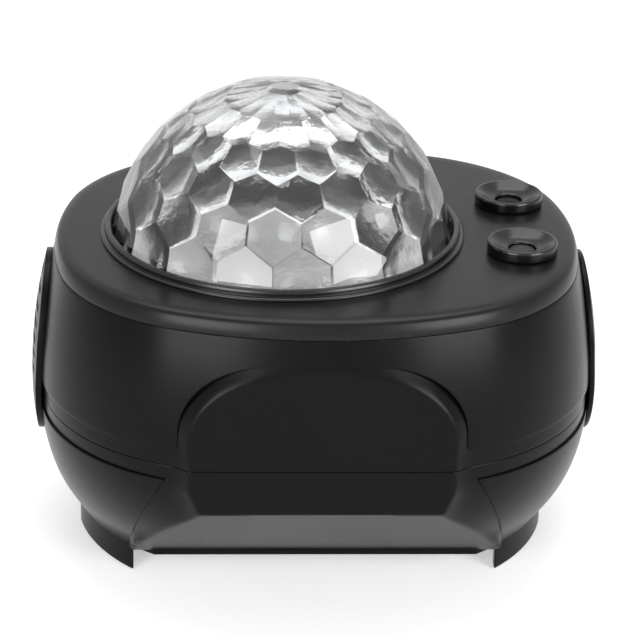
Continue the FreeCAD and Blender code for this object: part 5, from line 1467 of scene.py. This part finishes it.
def make_studio(studio):
    """Pale floor with a curved backdrop, soft lamps, and the camera at the photograph's angle."""
    scene = bpy.context.scene
    scene.view_settings.view_transform = "Standard"
    world = bpy.data.worlds.new("studio")
    scene.world = world
    world.use_nodes = True
    tree = world.node_tree
    tree.nodes.clear()
    dim = add_node(tree, "ShaderNodeBackground", {"Color": (0.95, 0.97, 1.0, 1), "Strength": 0.4})
    white = add_node(tree, "ShaderNodeBackground", {"Color": (1, 1, 1, 1), "Strength": 1.0})
    mix = add_node(tree, "ShaderNodeMixShader",
                   {0: pale_when_seen(tree), 1: dim.outputs[0], 2: white.outputs[0]})
    add_node(tree, "ShaderNodeOutputWorld", {"Surface": mix.outputs[0]})
    studio_floor(studio)
    add_lamp("key_softbox", (-0.62, -0.95, 0.34), (0.6, 0.6), 9.0)
    add_lamp("fill_softbox", (0.78, -0.82, 0.36), (0.6, 0.6), 10.5)
    add_lamp("top_softbox", (0.0, 0.25, 1.1), (0.9, 0.7), 6.0)
    add_camera(studio)


FLOOR_PROFILE = ((-3, 0), (0, 0), (1.4, 0), (1.8, 0.06), (2.05, 0.3), (2.12, 0.7), (2.12, 2.6))
FLOOR_HALF = 3.5
FLOOR_SINK = 0.02 * MM


def studio_floor(studio):
    rows = [[(x, y, z - FLOOR_SINK) for x in (-FLOOR_HALF, FLOOR_HALF)] for y, z in FLOOR_PROFILE]
    points = [place for row in rows for place in row]
    mesh = mesh_from("studio_floor", points, [
        (2 * k, 2 * k + 1, 2 * k + 3, 2 * k + 2) for k in range(len(rows) - 1)])
    for face in mesh.polygons:
        face.use_smooth = True
    material = bpy.data.materials.new("pale_floor")
    material.use_nodes = True
    tree = material.node_tree
    shader = tree.nodes["Principled BSDF"]
    shader.inputs["Base Color"].default_value = (*studio.floor, 1)
    shader.inputs["Roughness"].default_value = 0.9
    glow = add_node(tree, "ShaderNodeEmission", {"Strength": 0.42})
    add = add_node(tree, "ShaderNodeAddShader", {0: shader.outputs[0], 1: glow.outputs[0]})
    mix = add_node(tree, "ShaderNodeMixShader",
                   {0: pale_when_seen(tree), 1: shader.outputs[0], 2: add.outputs[0]})
    tree.links.new(mix.outputs[0], tree.nodes["Material Output"].inputs["Surface"])
    mesh.materials.append(material)
    return link(bpy.data.objects.new("studio_floor", mesh))


def add_lamp(name, place, size, power):
    data = bpy.data.lights.new(name, "AREA")
    data.shape = "RECTANGLE"
    data.size, data.size_y = size
    data.energy = power
    item = link(bpy.data.objects.new(name, data))
    item.location = place
    aim = Vector((0, 0, 60 * MM)) - Vector(place)
    item.rotation_euler = aim.to_track_quat("-Z", "Y").to_euler()


def add_camera(studio):
    data = bpy.data.cameras.new("photo_view")
    data.lens = studio.lens
    data.sensor_width = 36.0
    data.clip_start, data.clip_end = 0.05, 20.0
    item = link(bpy.data.objects.new("photo_view", data))
    a, e, roll = studio.azimuth, studio.elevation, studio.roll
    back = Vector((math.sin(a) * math.cos(e), -math.cos(a) * math.cos(e), math.sin(e)))
    right = (-back).cross(Vector((0, 0, 1))).normalized()
    up = right.cross(-back)
    across = right * math.cos(roll) + up * math.sin(roll)
    upright = -right * math.sin(roll) + up * math.cos(roll)
    turn = Matrix((across, upright, back)).transposed()
    item.matrix_world = Matrix.Translation(studio.camera) @ turn.to_4x4()
    bpy.context.scene.camera = item


# Operators and panel

class PROJECTOR_OT_finishes(bpy.types.Operator):
    """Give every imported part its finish"""
    bl_idname = "projector.finishes"
    bl_label = "Finishes"

    def execute(self, context):
        paint_packed_nodes()
        return {"FINISHED"}


class PROJECTOR_OT_upper_housing(bpy.types.Operator):
    """Make the upper housing with its flat front and back panels"""
    bl_idname = "projector.upper_housing"
    bl_label = "Upper housing"

    def execute(self, context):
        make_upper_housing(context.scene.projector_form, context.scene.projector_panel)
        return {"FINISHED"}


class PROJECTOR_OT_arched_shell(bpy.types.Operator):
    """Make the upper skin with an arch in front and one behind"""
    bl_idname = "projector.arched_shell"
    bl_label = "Arched shell"

    def execute(self, context):
        make_arched_shell(context.scene.projector_form)
        return {"FINISHED"}


class PROJECTOR_OT_lower_housing(bpy.types.Operator):
    """Make the lower housing with its facets, slopes and bevels"""
    bl_idname = "projector.lower_housing"
    bl_label = "Lower housing"

    def execute(self, context):
        make_lower_housing(context.scene.projector_form, context.scene.projector_panel)
        return {"FINISHED"}


class PROJECTOR_OT_skirts(bpy.types.Operator):
    """Make the side skirts and the foot walls below them"""
    bl_idname = "projector.skirts"
    bl_label = "Skirts and feet"

    def execute(self, context):
        make_skirts(context.scene.projector_form)
        return {"FINISHED"}


class PROJECTOR_OT_side_plates(bpy.types.Operator):
    """Make the round-ended side plates, the left one slotted for the speaker"""
    bl_idname = "projector.side_plates"
    bl_label = "Side plates"

    def execute(self, context):
        make_side_plates(context.scene.projector_form)
        return {"FINISHED"}


class PROJECTOR_OT_deck(bpy.types.Operator):
    """Make the top cover with its rolled edge and its openings"""
    bl_idname = "projector.deck"
    bl_label = "Deck"

    def execute(self, context):
        make_deck(context.scene.projector_form)
        return {"FINISHED"}


class PROJECTOR_OT_dome(bpy.types.Operator):
    """Make the clear faceted dome"""
    bl_idname = "projector.dome"
    bl_label = "Dome"

    def execute(self, context):
        make_dome(context.scene.projector_dome)
        return {"FINISHED"}


class PROJECTOR_OT_dome_ring(bpy.types.Operator):
    """Make the stepped trim ring round the dome"""
    bl_idname = "projector.dome_ring"
    bl_label = "Dome ring"

    def execute(self, context):
        make_dome_ring()
        return {"FINISHED"}


class PROJECTOR_OT_lenses(bpy.types.Operator):
    """Make the two lens bezels and the glass in them"""
    bl_idname = "projector.lenses"
    bl_label = "Lens bezels and glass"

    def execute(self, context):
        make_lens_bezels()
        make_lens_windows()
        return {"FINISHED"}


class PROJECTOR_OT_inner_parts(bpy.types.Operator):
    """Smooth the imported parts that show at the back, below or through the dome"""
    bl_idname = "projector.inner_parts"
    bl_label = "Sockets, button and light engine"

    def execute(self, context):
        make_smooth_nodes()
        return {"FINISHED"}


class PROJECTOR_OT_screws(bpy.types.Operator):
    """Make the sets of screws"""
    bl_idname = "projector.screws"
    bl_label = "Screws"

    def execute(self, context):
        make_screws()
        return {"FINISHED"}


class PROJECTOR_OT_studio(bpy.types.Operator):
    """Set up the floor, the lamps and the camera"""
    bl_idname = "projector.studio"
    bl_label = "Studio"

    def execute(self, context):
        make_studio(context.scene.projector_studio)
        return {"FINISHED"}


OPERATORS = (
    PROJECTOR_OT_finishes,
    PROJECTOR_OT_upper_housing,
    PROJECTOR_OT_arched_shell,
    PROJECTOR_OT_lower_housing,
    PROJECTOR_OT_skirts,
    PROJECTOR_OT_side_plates,
    PROJECTOR_OT_deck,
    PROJECTOR_OT_dome,
    PROJECTOR_OT_dome_ring,
    PROJECTOR_OT_lenses,
    PROJECTOR_OT_inner_parts,
    PROJECTOR_OT_screws,
    PROJECTOR_OT_studio,
)


class PROJECTOR_PT_panel(bpy.types.Panel):
    """The projector's steps and settings in the sidebar"""
    bl_idname = "PROJECTOR_PT_panel"
    bl_label = "Star projector"
    bl_space_type = "VIEW_3D"
    bl_region_type = "UI"
    bl_category = "Projector"

    def draw(self, context):
        for operator in OPERATORS:
            self.layout.operator(operator.bl_idname)
        for name in SETTINGS:
            group = getattr(context.scene, name)
            box = self.layout.box()
            for key in group.bl_rna.properties.keys():
                if key not in ("rna_type", "name"):
                    box.prop(group, key)


def register():
    for cls in (*SETTINGS.values(), *OPERATORS, PROJECTOR_PT_panel):
        bpy.utils.register_class(cls)
    for name, cls in SETTINGS.items():
        setattr(bpy.types.Scene, name, PointerProperty(type=cls))


def unregister():
    for name in SETTINGS:
        delattr(bpy.types.Scene, name)
    for cls in reversed((*SETTINGS.values(), *OPERATORS, PROJECTOR_PT_panel)):
        bpy.utils.unregister_class(cls)


def main():
    register()
    for operator in OPERATORS:
        family, step = operator.bl_idname.split(".")
        getattr(getattr(bpy.ops, family), step)()


if __name__ == "__main__":
    main()
